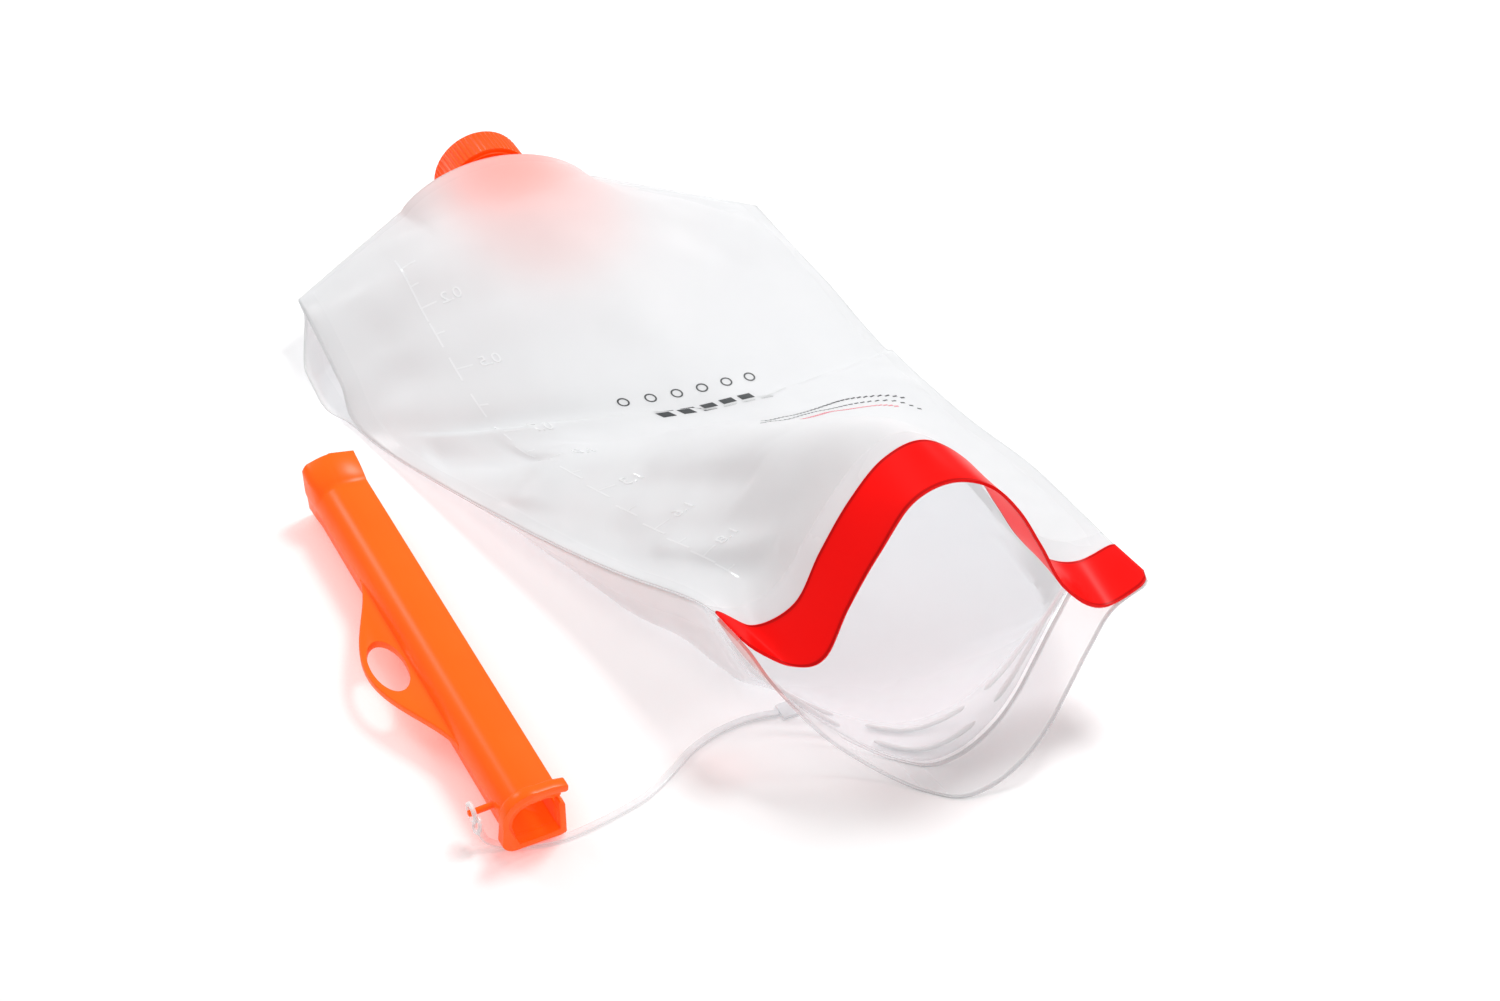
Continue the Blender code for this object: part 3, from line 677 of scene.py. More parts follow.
class Finish:
    """A material under construction: its shader, its surface group and its bump."""

    def __init__(self, name, colour, drift_colour, drift, roughness, spread, grain, height, bump):
        self.material = bpy.data.materials.new(name)
        self.material.use_nodes = True
        self.nodes, self.links = self.material.node_tree.nodes, self.material.node_tree.links
        self.shader, self.output = self.nodes["Principled BSDF"], self.nodes["Material Output"]
        group = self.nodes.new("ShaderNodeGroup")
        group.node_tree = moulded_surface_group()
        values = ((*colour, 1), (*drift_colour, 1), drift, roughness, spread, grain, height)
        for label, value in zip(SURFACE_INPUTS, values):
            group.inputs[label].default_value = value
        self.surface = group.outputs
        self.bump = self.nodes.new("ShaderNodeBump")
        self.bump.inputs["Strength"].default_value = bump
        self.bump.inputs["Distance"].default_value = BUMP_DISTANCE
        self.links.new(self.nodes.new("ShaderNodeTexCoord").outputs["Object"], group.inputs["Vector"])
        self.links.new(self.surface["Height"], self.bump.inputs["Height"])
        self.set(
            Base_Color=self.surface["Colour"], Roughness=self.surface["Roughness"],
            Normal=self.bump.outputs["Normal"],
        )

    def feed(self, socket, value):
        """Links a socket to another one, or sets it to a number or a colour."""
        if isinstance(value, bpy.types.NodeSocket):
            self.links.new(value, socket)
        else:
            socket.default_value = (*value, 1) if isinstance(value, tuple) else value

    def set(self, **values):
        for name, value in values.items():
            self.feed(self.shader.inputs[name.replace("_", " ")], value)

    def attribute(self, name):
        node = self.nodes.new("ShaderNodeAttribute")
        node.attribute_name = name
        return node.outputs["Fac"]

    def mapped(self, source, low, high, out_low, out_high):
        node = self.nodes.new("ShaderNodeMapRange")
        node.interpolation_type = "SMOOTHSTEP"
        values = {"Value": source, "From Min": low, "From Max": high, "To Min": out_low, "To Max": out_high}
        for label, value in values.items():
            self.feed(node.inputs[label], value)
        return node.outputs["Result"]

    def slanted(self, blend, low, high, out_low, out_high):
        """A share that changes from where the surface faces the camera to where it is seen at a slant."""
        node = self.nodes.new("ShaderNodeLayerWeight")
        node.inputs["Blend"].default_value = blend
        return self.mapped(node.outputs["Facing"], low, high, out_low, out_high)

    def math(self, operation, a, b):
        node = self.nodes.new("ShaderNodeMath")
        node.operation = operation
        self.feed(node.inputs[0], a)
        self.feed(node.inputs[1], b)
        return node.outputs[0]

    def mix(self, factor, a, b):
        node = self.nodes.new("ShaderNodeMix")
        node.data_type = "RGBA"
        for label, value in (("Factor", factor), ("A", a), ("B", b)):
            self.feed(node.inputs[label], value)
        return node.outputs["Result"]

    def height_from(self, socket):
        self.links.new(socket, self.bump.inputs["Height"])

    def cover(self, kind, colour, share):
        """Mixes another shader over what is there now."""
        shader, mixer = self.nodes.new("ShaderNodeBsdf" + kind), self.nodes.new("ShaderNodeMixShader")
        self.feed(shader.inputs["Color"], colour)
        self.feed(mixer.inputs[0], share)
        self.links.new(self.output.inputs["Surface"].links[0].from_socket, mixer.inputs[1])
        self.links.new(shader.outputs[0], mixer.inputs[2])
        self.links.new(mixer.outputs[0], self.output.inputs["Surface"])
        return shader

    def glow_through(self, colour, share):
        """Lets light through from behind, scattered."""
        self.links.new(self.bump.outputs["Normal"], self.cover("Translucent", colour, share).inputs["Normal"])

    def clear_through(self, colour, share):
        """Lets the camera see straight through, by a share that may change over the surface."""
        self.cover("Transparent", colour, share)

    def light_shadow(self, colour, share):
        """Lets part of the light straight through where a shadow would fall."""
        path = self.nodes.new("ShaderNodeLightPath")
        self.cover("Transparent", colour, self.math("MULTIPLY", path.outputs["Is Shadow Ray"], share))


def film_material():
    finish = Finish(
        "frosted_film", bladder("film").colour, (0.69, 0.697, 0.708), drift=0.5, roughness=0.36,
        spread=0.16, grain=420.0, height=0.25, bump=0.14,
    )
    port, weld, mouth = (finish.attribute(name) for name in ("port_glow", "weld", "clear"))
    smoother = finish.math("MULTIPLY", finish.math("ADD", weld, mouth), 0.16)
    # Painted glow: the film's colour turns pink near the port, standing in for the port's light coming
    # through it.
    painted_port_glow = finish.math("MULTIPLY", port, 0.62)
    finish.set(
        IOR=1.45, Specular_IOR_Level=0.42,
        Base_Color=finish.mix(painted_port_glow, finish.surface["Colour"], (1.0, 0.30, 0.24)),
        Roughness=finish.math("SUBTRACT", finish.surface["Roughness"], smoother),
    )
    finish.height_from(finish.math("ADD", finish.surface["Height"], finish.math("MULTIPLY", weld, 0.9)))
    finish.glow_through((0.90, 0.903, 0.906), 0.42)
    finish.clear_through((0.98, 0.985, 0.99), finish.mapped(mouth, 0.0, 1.0, 0.05, 0.72))
    finish.light_shadow((0.97, 0.97, 0.98), 0.79)
    return finish.material


def clear_material(name, most, least):
    finish = Finish(
        name, bladder("bands").clear, (0.93, 0.94, 0.95), drift=0.3, roughness=0.06,
        spread=0.04, grain=160.0, height=0.4, bump=0.08,
    )
    edge = finish.attribute("edge_line")
    # Painted shade: the clear band turns grey and less see-through along its edge lines.
    finish.set(IOR=1.45, Base_Color=finish.mix(edge, finish.surface["Colour"], (0.42, 0.43, 0.44)))
    # Painted red show-through of the red band near the left ear.
    tint = finish.mix(finish.attribute("red_tint"), (0.965, 0.97, 0.972), (1.0, 0.40, 0.36))
    see = finish.slanted(0.22, 0.10, 0.95, most, least)
    finish.clear_through(tint, finish.math("MULTIPLY", see, finish.mapped(edge, 0.0, 1.0, 1.0, 0.45)))
    finish.light_shadow((0.96, 0.965, 0.97), 0.55)
    return finish.material


def red_material():
    finish = Finish(
        "red_band", bladder("bands").red, (1.0, 0.014, 0.010), drift=0.6, roughness=0.34,
        spread=0.10, grain=600.0, height=0.16, bump=0.12,
    )
    edge = finish.attribute("edge_line")
    # The red emission is a painted glow that brightens the band.
    finish.set(
        Specular_IOR_Level=0.11, Emission_Color=(1.0, 0.0, 0.0), Emission_Strength=0.14,
        # Painted shade: the band's red darkens along the pressed edge lines.
        Base_Color=finish.mix(edge, finish.surface["Colour"], (0.34, 0.002, 0.002)),
    )
    finish.height_from(finish.math("SUBTRACT", finish.surface["Height"], finish.math("MULTIPLY", edge, 0.8)))
    finish.glow_through((1.0, 0.02, 0.01), 0.12)
    return finish.material


def orange_material(name, colour, glow, share):
    finish = Finish(
        name, colour, (1.0, colour[1] * 1.6 + 0.02, 0.012), drift=0.45, roughness=0.30,
        spread=0.10, grain=800.0, height=0.14, bump=0.10,
    )
    # The orange emission is a painted glow on the port, the valve body and the clip.
    finish.set(Specular_IOR_Level=0.30, Emission_Color=colour, Emission_Strength=0.08)
    finish.glow_through(glow, share)
    finish.light_shadow((1.0, 0.78, 0.78), 0.87)
    return finish.material


def port_material():
    return orange_material("port_orange", tuple(bladder("port").orange), (1.0, 0.10, 0.03), 0.12)


def strap_material():
    finish = Finish(
        "clear_strap", (0.95, 0.955, 0.96), (0.88, 0.89, 0.90), drift=0.5, roughness=0.14,
        spread=0.08, grain=500.0, height=0.2, bump=0.08,
    )
    finish.set(IOR=1.42)
    finish.clear_through((0.97, 0.975, 0.98), finish.slanted(0.3, 0.1, 1.0, 0.42, 0.10))
    finish.light_shadow((0.95, 0.95, 0.96), 0.45)
    return finish.material


def scale_material():
    finish = Finish(
        "raised_scale", (0.88, 0.883, 0.886), (0.78, 0.785, 0.795), drift=0.5, roughness=0.10,
        spread=0.05, grain=600.0, height=0.2, bump=0.06,
    )
    finish.set(IOR=1.50, Specular_IOR_Level=0.8)
    finish.glow_through((0.96, 0.963, 0.966), 0.42)
    finish.light_shadow((0.97, 0.97, 0.98), 0.7)
    return finish.material


# The plainer finishes: colour, drift colour, drift, roughness, its spread, grain scale and height, bump.
PLAIN = {
    "dark_rubber": ((0.030, 0.030, 0.033), (0.055, 0.055, 0.06), 0.6, 0.72, 0.14, 1400.0, 0.4, 0.25),
    "white_plastic": ((0.84, 0.84, 0.82), (0.78, 0.78, 0.75), 0.5, 0.42, 0.12, 900.0, 0.2, 0.12),
    "spring_steel": ((0.62, 0.63, 0.65), (0.48, 0.49, 0.51), 0.5, 0.26, 0.12, 2400.0, 0.2, 0.15),
    "dark_ink": ((0.030, 0.034, 0.036), (0.07, 0.075, 0.08), 0.8, 0.45, 0.15, 1500.0, 0.4, 0.12),
    "pink_ink": ((0.75, 0.10, 0.16), (0.85, 0.30, 0.34), 0.8, 0.45, 0.15, 1500.0, 0.4, 0.12),
    "pale_floor": ((0.975, 0.975, 0.975), (0.965, 0.965, 0.965), 0.3, 0.55, 0.1, 300.0, 0.05, 0.02),
}


def plain_material(name):
    finish = Finish(name, *PLAIN[name])
    if name == "spring_steel":
        finish.set(Metallic=1.0)
    if name == "pale_floor":
        finish.set(Specular_IOR_Level=0.25)
    return finish.material


MATERIALS = {}
SHAPES = {}


def made(maker, *values):
    """A material made once and then shared."""
    key = (maker.__name__, values)
    if key not in MATERIALS:
        MATERIALS[key] = maker(*values)
    return MATERIALS[key]


# Pieces.
def film_shape(side):
    """The shape of the front film, side 1, or the back one, side -1, worked out once."""
    film = bladder("film")
    if side not in SHAPES:
        SHAPES[side] = FilmShape(side, film.across, film.along, film.thickness)
    return SHAPES[side]


def weld_mark(u, v, point):
    """1 on the welded margin, falling to 0 just inside it."""
    width = bladder("film").weld_width
    return 1 - smoothstep(width * 0.85, width * 1.1, seam_distance(u, v))


def clear_mark(u, v, point):
    """1 at the mouth, where the film is smooth and clear."""
    return smoothstep(0.80, 0.97, v)


def front_clear_mark(u, v, point):
    """The front film stays frosted up to its weld strip behind the band."""
    return 0.45 * smoothstep(0.925, 0.935, v)


def glow_mark(u, v, point):
    """The port's orange light coming through the film, painted into its colour: strong close to it, then a
    faint bloom below.
    """
    x, y = point.x - PORT.x, PORT.y - point.y
    near = math.exp(-((((x - 0.002) / 0.024) ** 2 + ((y - 0.024) / 0.028) ** 2) ** 1.4))
    far = math.exp(-((((x - 0.004) / 0.035) ** 2 + ((y - 0.044) / 0.046) ** 2) ** 2.2))
    return clamp(0.62 * near + 0.38 * far) * smoothstep(0.0, 0.010, y)


def build_films():
    film = bladder("film")
    for name, node, side, clear in (
        ("film_front", "front_film", 1, front_clear_mark), ("film_back", "back_film", -1, clear_mark),
    ):
        piece = sheet_piece(
            name, film_shape(side).read, film.across, film.along, film.thickness, side, made(film_material),
            {"weld": weld_mark, "clear": clear, "port_glow": glow_mark},
        )
        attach(piece, "reservoir")
        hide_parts(node)


def corner_cut(u):
    """How much is cut from the band's width at u, so that its corners are round."""
    from_end = min(u, 1 - u) * FILM_SIZE[0]
    if from_end >= BAND_CORNER:
        return 0.0
    return BAND_CORNER - math.sqrt(max(0.0, BAND_CORNER**2 - (BAND_CORNER - from_end) ** 2))


def edge_line(u, v, point):
    """A line just inside each long edge of the band: a pressed groove on the red band, and painted shade that
    darkens both bands along it.
    """
    return math.exp(-(((min(v, 1 - v) - EDGE_LINE) / EDGE_LINE_WIDTH) ** 2))


def red_tint(u, v, point):
    """Painted red show-through: where the clear band lies against the red one near the left ear, its
    see-through colour turns red.
    """
    return smoothstep(0.16, 0.03, u)


def build_bands():
    bands = bladder("bands")

    def upper(u, v):
        start = along_lip(UPPER_WELD, u)
        out = (along_lip(UPPER_FREE, u) - start).normalized()
        cut = corner_cut(u)
        return start + out * lerp(-0.0008 + cut * 0.2, bands.width - cut, v)

    def lower(u, v):
        start = along_lip(LOWER_FREE, u) - BAND_OUT * bands.width
        cut = corner_cut(u)
        point = start + BAND_OUT * lerp(0.0016 + cut * 0.2, bands.width - cut, v)
        point.z = max(point.z, bands.thickness)
        return point

    clear = made(clear_material, "clear_band", 0.86, 0.20)
    for name, node, point_at, side, material, slot in (
        ("band_front", "front_lip_band", upper, 1, made(red_material), "red_band"),
        ("band_back", "back_lip_band", lower, -1, clear, "clear_band"),
    ):
        piece = sheet_piece(
            name, point_at, BAND_ACROSS, BAND_ALONG, bands.thickness, side, material,
            {"edge_line": edge_line, "red_tint": red_tint},
        )
        rounded(piece, bands.thickness * 0.32, 2, 50)
        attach(piece, "reservoir")
        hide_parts(node)


def build_ribs():
    radius, shape = bladder("bands").rib_radius, film_shape(-1)
    material = made(clear_material, "clear_rib", 0.55, 0.05)
    for side, start, end in RIBS:
        for row, v in RIB_ROWS:
            points = []
            for i in range(RIB_STEPS + 1):
                u = lerp(start, end, i / RIB_STEPS)
                points.append(shape.read(u, v) - shape.normal(u, v) * (radius * 0.5))
            rib = tube_piece(f"rib_{side}_{row}", points, radius, material, 4)
            for i, knot in enumerate(rib.data.splines[0].points):
                from_end = clamp(min(i, RIB_STEPS - i) / 3)
                knot.radius = math.sqrt(clamp(1 - (1 - from_end) ** 2, 0.05, 1))
            rib = finished(rib)
            rib.data.shade_smooth()
            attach(rib, "reservoir")
            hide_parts(f"lip_rib_{side}_{row}")


def decal(bm, u, v, material):
    """A flat mesh, in metres about (0, 0), laid on the front film about (u, v)."""
    shape, lift = film_shape(1), bladder("film").thickness + MARK_LIFT
    for vert in bm.verts:
        vert.co = shape.place(u, v, vert.co.x, vert.co.y, lift + vert.co.z)
    mesh = bpy.data.meshes.new("decal")
    bm.to_mesh(mesh)
    bm.free()
    return new_object("decal", mesh, material)


def merged(name, parts):
    """One object from several of one material."""
    bm = bmesh.new()
    material = parts[0].data.materials[0]
    for part in parts:
        bm.from_mesh(part.data)
        bpy.data.objects.remove(part, do_unlink=True)
    return mesh_piece(name, bm, material)


def bar(width, height, thick, columns=12, lean=0.0):
    """A thin bar, cut fine enough to follow the film."""
    bm = bmesh.new()
    bmesh.ops.create_grid(bm, x_segments=columns, y_segments=3, size=0.5)
    stretched(bm, (width, height, 1))
    for vert in bm.verts:
        vert.co.x += vert.co.y * lean
    bmesh.ops.solidify(bm, geom=bm.faces[:], thickness=thick)
    return bm


def ring_mark(radius, width, thick):
    bm = bmesh.new()
    bmesh.ops.create_circle(bm, cap_ends=False, radius=radius, segments=20)
    outer = bm.edges[:]
    inner = bmesh.ops.extrude_edge_only(bm, edges=outer)["geom"]
    verts = [item for item in inner if isinstance(item, bmesh.types.BMVert)]
    bmesh.ops.scale(bm, verts=verts, vec=(1 - width / radius, 1 - width / radius, 1))
    bmesh.ops.solidify(bm, geom=bm.faces[:], thickness=thick)
    return bm


def numeral(body, height, thick):
    """A number as a mesh, turned to be read from the mouth's side."""
    text = bpy.data.curves.new("numeral", "FONT")
    text.body, text.size, text.extrude, text.resolution_u = body, height, thick / 2, 3
    text.align_x, text.align_y = "CENTER", "CENTER"
    obj = finished(new_object("numeral", text, None))
    bm = bmesh.new()
    bm.from_mesh(obj.data)
    bpy.data.objects.remove(obj, do_unlink=True)
    return swung(bm, 180, "Z")


def scale_u(v):
    """Where the volume scale's line runs across the front film."""
    return lerp(0.195, 0.125, smoothstep(0.40, 0.85, v))


def build_scale():
    """The raised line with its ticks and volumes."""
    raised, parts = made(scale_material), []
    for i in range(SCALE_STEPS + 1):
        v = lerp(*SCALE_SPAN, i / SCALE_STEPS)
        long_tick = i % 2 == 0
        width = 0.0062 if long_tick else 0.0034
        parts.append(decal(bar(width, 0.0007, 0.00045), scale_u(v) + width / 0.38, v, raised))
        parts.append(decal(bar(0.0007, 0.0125, 0.00040, 3), scale_u(v), v, raised))
        if long_tick and i:
            volume = f"{lerp(0.25, 2.0, (i / 2 - 1) / 6.5):.2f}"[:3]
            parts.append(decal(numeral(volume, 0.0072, 0.00050), scale_u(v) + 0.062, v, raised))
    return merged("volume_scale", parts)


def build_marks():
    dark, pink = made(plain_material, "dark_ink"), made(plain_material, "pink_ink")
    marks = [decal(ring_mark(0.0022, 0.0006, INK_THICK), 0.42 + 0.049 * i, 0.402, dark) for i in range(6)]
    for i in range(6):
        marks.append(decal(bar(0.0050, 0.0120, INK_THICK, 4, lean=0.35), 0.45 + 0.038 * i, 0.430, dark))
    path, rules, accent = [Vector(place) for place in RULE_PATH], [], []
    for row, start, end, shift, ink in (
        (rules, 0.0, 1.0, 0.0, dark), (rules, 0.08, 0.97, -0.022, dark), (accent, 0.20, 0.86, 0.026, pink),
    ):
        for i in range(RULE_DASHES):
            u, v = smooth_through(path, lerp(start, end, i / (RULE_DASHES - 1)) * (len(path) - 1))
            row.append(decal(bar(0.0019, 0.0009, INK_THICK, 3), u, v + shift, ink))
    for piece in (
        build_scale(), merged("printed_mark", marks), merged("printed_rules", rules),
        merged("printed_accent", accent),
    ):
        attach(piece, "reservoir")


def build_port():
    port = bladder("port")
    material, r = made(port_material), port.radius
    collar = turned(
        [
            (0.0153, 0.1980), (0.0158, 0.1976), (0.0166, 0.1976), (0.0169, 0.1980), (0.0182, 0.1980),
            (r - 0.0003, 0.1982), (r, 0.1988), (r, 0.2108), (r - 0.0003, 0.2115), (0.0180, 0.2120),
            (0.0128, 0.2120), (0.0124, 0.2116), (0.0124, 0.2092), (0.0170, 0.2092), (0.0170, 0.2003),
            (0.0153, 0.2003),
        ],
        port.knurls * KNURL_STEPS,
    )
    for vert in collar.verts:
        radius = math.hypot(vert.co.x, vert.co.z)
        if radius > r - 0.0006 and 0.1984 < vert.co.y < 0.2113:
            wave = math.cos(math.atan2(vert.co.z, vert.co.x) * port.knurls)
            scale = (radius - port.knurl_depth * (0.5 - wave / 2) ** 0.6) / radius
            vert.co = Vector((vert.co.x * scale, vert.co.y, vert.co.z * scale))
    piece = mesh_piece("collar", to_port(collar), material, sharp=30)
    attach(piece, "collar")
    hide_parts("outlet_collar")

    across = [-FLANGE_HALF * math.cos(math.pi * i / FLANGE_STEPS) for i in range(FLANGE_STEPS + 1)]
    top = [(x, FLANGE_TALL * eye(x, FLANGE_HALF) + 0.0003) for x in across]
    plate = prism(top + [(x, -z) for x, z in reversed(top)], [0.1895, 0.1925], lambda a, b, c: (a, c, b))
    flange = finished(rounded(mesh_piece("flange", to_port(plate), material), 0.0005, 2, 60))
    neck, socket = (
        mesh_piece("turned", to_port(turned(profile, NECK_SEGMENTS)), None)
        for profile in (NECK_PROFILE, SOCKET_PROFILE)
    )
    lugs = []
    for turn in (90, 210, 330):
        lug = box((0.0050, 0.0024, 0.0034), (0, 0.2020, 0.0149), 0.0004)
        lugs.append(mesh_piece("lug", to_port(swung(lug, turn, "Y")), None))
    flange = joined(flange, [neck])
    flange = joined(flange, [socket], "DIFFERENCE")
    flange = joined(flange, lugs)
    flange.data.shade_smooth()
    flange.data.set_sharp_from_angle(angle=math.radians(30))
    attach(flange, "reservoir")
    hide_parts("outlet_flange")


def build_spring():
    """The coil between the retainer and the poppet, built at one length; in the real valve it shortens as the
    poppet is pushed.
    """
    low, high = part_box("valve_spring")
    middle, radius = (low.x + high.x) / 2, (high.x - low.x) / 2 - SPRING_WIRE
    last = SPRING_TURNS * SPRING_STEPS
    coil = []
    for i in range(last + 1):
        turn = 2 * math.pi * i / SPRING_STEPS
        rise = lerp(i / last, smoothstep(0.0, 1.0, i / last), 0.4)
        y = lerp(low.y + SPRING_WIRE, high.y - SPRING_WIRE, rise)
        coil.append(Vector((middle + radius * math.cos(turn), y, PORT.z + radius * math.sin(turn))))
    spring = finished(tube_piece("spring_coil", coil, SPRING_WIRE, made(plain_material, "spring_steel")))
    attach(spring, "reservoir")
    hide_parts("valve_spring")
    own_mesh(spring)


def build_valve():
    """Gives the CAD nodes that stay on show their finishes, and builds the spring."""
    rubber, white = made(plain_material, "dark_rubber"), made(plain_material, "white_plastic")
    for node, material in (
        ("collar_washer", rubber), ("socket_o_ring", rubber), ("poppet_seal", rubber),
        ("valve_poppet", white), ("spring_retainer", white), ("valve_body", made(port_material)),
    ):
        for slot in frame["nodes"][node].material_slots:
            slot.material = material
    build_spring()


def bar_outline(fine):
    """The C-shaped section of the clip, (x, z) from its centre line, open at the upper right."""
    return (
        [(0.0112, 0.0197), (0.0110, 0.0202), (0.0022, 0.0217)]
        + arc((0.0006, 0.0125), 0.0090, 88, 200, 8 * fine)
        + arc((-0.0040, 0.0066), 0.0040, 205, 270, 3 * fine)
        + [(0.0085, 0.0026)]
        + arc((0.0092, 0.0046), 0.0020, 280, 350, 3 * fine)
        + [(0.0114, 0.0131), (0.0112, 0.0135), (0.0098, 0.0135), (0.0094, 0.0131), (0.0094, 0.0050)]
        + [(0.0090, 0.0046), (-0.0050, 0.0046)]
        + arc((0.0006, 0.0125), 0.0072, 200, 88, 8 * fine)
        + [(0.0060, 0.0198), (0.0104, 0.0187), (0.0108, 0.0189)]
    )


def rim_outline(fine):
    """The taller section of the clip's near end."""
    return (
        [(0.0132, 0.0240), (0.0129, 0.0246), (0.0080, 0.0258)]
        + arc((-0.0002, 0.0162), 0.0102, 75, 190, 8 * fine)
        + arc((-0.0060, 0.0080), 0.0052, 195, 262, 3 * fine)
        + [(0.0095, 0.0024), (0.0114, 0.0028), (0.0117, 0.0034), (0.0117, 0.0162), (0.0112, 0.0172)]
        + [(0.0100, 0.0180), (0.0096, 0.0176), (0.0096, 0.0054), (0.0092, 0.0050), (-0.0050, 0.0050)]
        + arc((-0.0002, 0.0152), 0.0082, 192, 75, 8 * fine)
        + [(0.0080, 0.0232), (0.0122, 0.0221), (0.0130, 0.0225)]
    )


def loop_outline(steps):
    """The finger plate, (x, y): along the bar's left side, swelling round the hole."""
    edge = []
    for i in range(steps + 1):
        t = i / steps
        swell = math.sin(math.pi * t) ** 1.6
        edge.append((-lerp(0.0086, 0.0235, swell), LOOP_CENTRE_Y + LOOP_LENGTH * (0.5 - t)))
    near, far = LOOP_CENTRE_Y - LOOP_LENGTH / 2, LOOP_CENTRE_Y + LOOP_LENGTH / 2
    return edge + [(CLIP_LEFT, near), (CLIP_LEFT, far)]


def build_clip():
    clip_set = bladder("clip")
    material = made(orange_material, "clip_orange", tuple(clip_set.orange), (1.0, 0.20, 0.14), 0.34)

    def along_y(a, b, station):
        y, wider, taller = station
        grow = taller if b > CLIP_MIDDLE_Z else 1 + (taller - 1) * 0.4
        if a < 0 and b > CLIP_MIDDLE_Z:
            square = 1 / max(-a, b - CLIP_MIDDLE_Z) * math.hypot(a, b - CLIP_MIDDLE_Z)
            corner = lerp(1.0, min(square, 1.28), clamp((taller - 1) / 0.36))
            a, b = a * corner, CLIP_MIDDLE_Z + (b - CLIP_MIDDLE_Z) * lerp(1.0, corner, 0.6)
        return (CLIP_X + a * wider, y, CLIP_MIDDLE_Z + (b - CLIP_MIDDLE_Z) * grow)

    stations = [(CLIP_NEAR + 0.002, 1, 1), (CLIP_NEAR + 0.006, 1, 1)]
    stations += [(lerp(CLIP_NEAR + 0.006, CLIP_FAR - 0.014, i / 12), 1, 1) for i in range(1, 13)]
    stations += [
        (CLIP_FAR - 0.0125, 1.0, 1.02), (CLIP_FAR - 0.0115, 1.005, 1.10), (CLIP_FAR - 0.0095, 1.01, 1.22),
        (CLIP_FAR - 0.0060, 1.02, 1.36), (CLIP_FAR - 0.0006, 1.03, 1.49), (CLIP_FAR, 1.028, 1.485),
    ]
    clip = mesh_piece("clip", prism(bar_outline(3), stations, along_y), material)
    rim = mesh_piece("rim", prism(
        rim_outline(3),
        [
            (CLIP_NEAR, 0.99, 0.985), (CLIP_NEAR + 0.0005, 1, 1), (CLIP_NEAR + 0.0036, 1, 1),
            (CLIP_NEAR + 0.0041, 0.99, 0.985),
        ],
        along_y,
    ), None)
    outline = prism(loop_outline(64), [LOOP_BOTTOM, LOOP_TOP], lambda a, b, c: (CLIP_X + a, b, c))
    plate = finished(rounded(mesh_piece("plate", outline, None), 0.0006, 3, 50))
    rail = mesh_piece("rail", box(
        (0.0014, CLIP_FAR - CLIP_NEAR - 0.030, 0.0040),
        (CLIP_X + 0.0020, (CLIP_FAR + CLIP_NEAR) / 2, 0.0060), 0.0003,
    ), None)
    root = CLIP_X + CLIP_LEFT
    prong = rod(PRONG_RADIUS, root - PRONG_END, 32)
    softened(prong, [edge for edge in prong.edges if all(v.co.z < 0 for v in edge.verts)], 0.0004, 3)
    shifted(swung(prong, 90, "Y"), ((PRONG_END + root) / 2, PRONG_Y, PRONG_Z))
    prong = mesh_piece("prong", prong, None)
    hole = stretched(rod(0.5, 0.0080, 64), (clip_set.hole_width, clip_set.hole_length, 1))
    shifted(hole, (CLIP_X + HOLE_LEFT, LOOP_CENTRE_Y, (LOOP_BOTTOM + LOOP_TOP) / 2))
    hole = mesh_piece("hole", hole, None)
    plate = joined(plate, [hole], "DIFFERENCE")
    clip = joined(clip, [rim, plate, rail, prong])
    clip = finished(rounded(clip, clip_set.edge, 2, 45))
    clip.data.shade_smooth()
    clip.data.set_sharp_from_angle(angle=math.radians(32))
    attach(clip, "clip")
    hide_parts("slide_clip")


def build_tether():
    tether = bladder("tether")
    material = made(strap_material)
    route = [Vector(point) for point in TETHER_ROUTE]
    points = [smooth_through(route, (len(route) - 1) * i / TETHER_STEPS) for i in range(TETHER_STEPS + 1)]
    strap = tube_piece("tether", points, tether.width / 2, material, 3, flatten=tether.thickness)
    length = sum((b - a).length for a, b in zip(points, points[1:]))
    loops = []
    for radius, centre, lean, flat in EYELET_RINGS:
        ring = [
            Vector(centre) + radius * Vector((lean * math.sin(a), flat * math.cos(a), math.sin(a)))
            for a in (2 * math.pi * i / EYELET_STEPS for i in range(EYELET_STEPS))
        ]
        loop = tube_piece("loop", ring, EYELET_WIRE, material, 3)
        loop.data.splines[0].use_cyclic_u = True
        loops.append(finished(loop))
    eyelet = merged("tether_loop", loops)
    tab = box((0.0080, 0.0070, 0.0012), (-0.0367, -0.1020, 0.0008), 0.0003)
    anchor = mesh_piece("tether_tab", tab, material)
    for piece, node in ((strap, "tether_strap"), (eyelet, "tether_eyelet"), (anchor, "tether_anchor")):
        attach(piece, "reservoir")
        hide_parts(node)
    tuple(points[0])


# The lights look at the origin, as the camera does. The sky is darker low down.
KEY_PLACE, SIDE_PLACE = (0.66, 0.26, 1.28), (-0.60, 1.05, 0.90)
SKY = [(0.02, (0.72, 0.72, 0.73, 1)), (0.55, (1.0, 1.0, 1.0, 1))]
BACKDROP = (1.6, 1.6, 1.6, 1)
CAMERA_LENS, CAMERA_TURN, CAMERA_RISE, CAMERA_AWAY = 70, -27, 42, 1.08


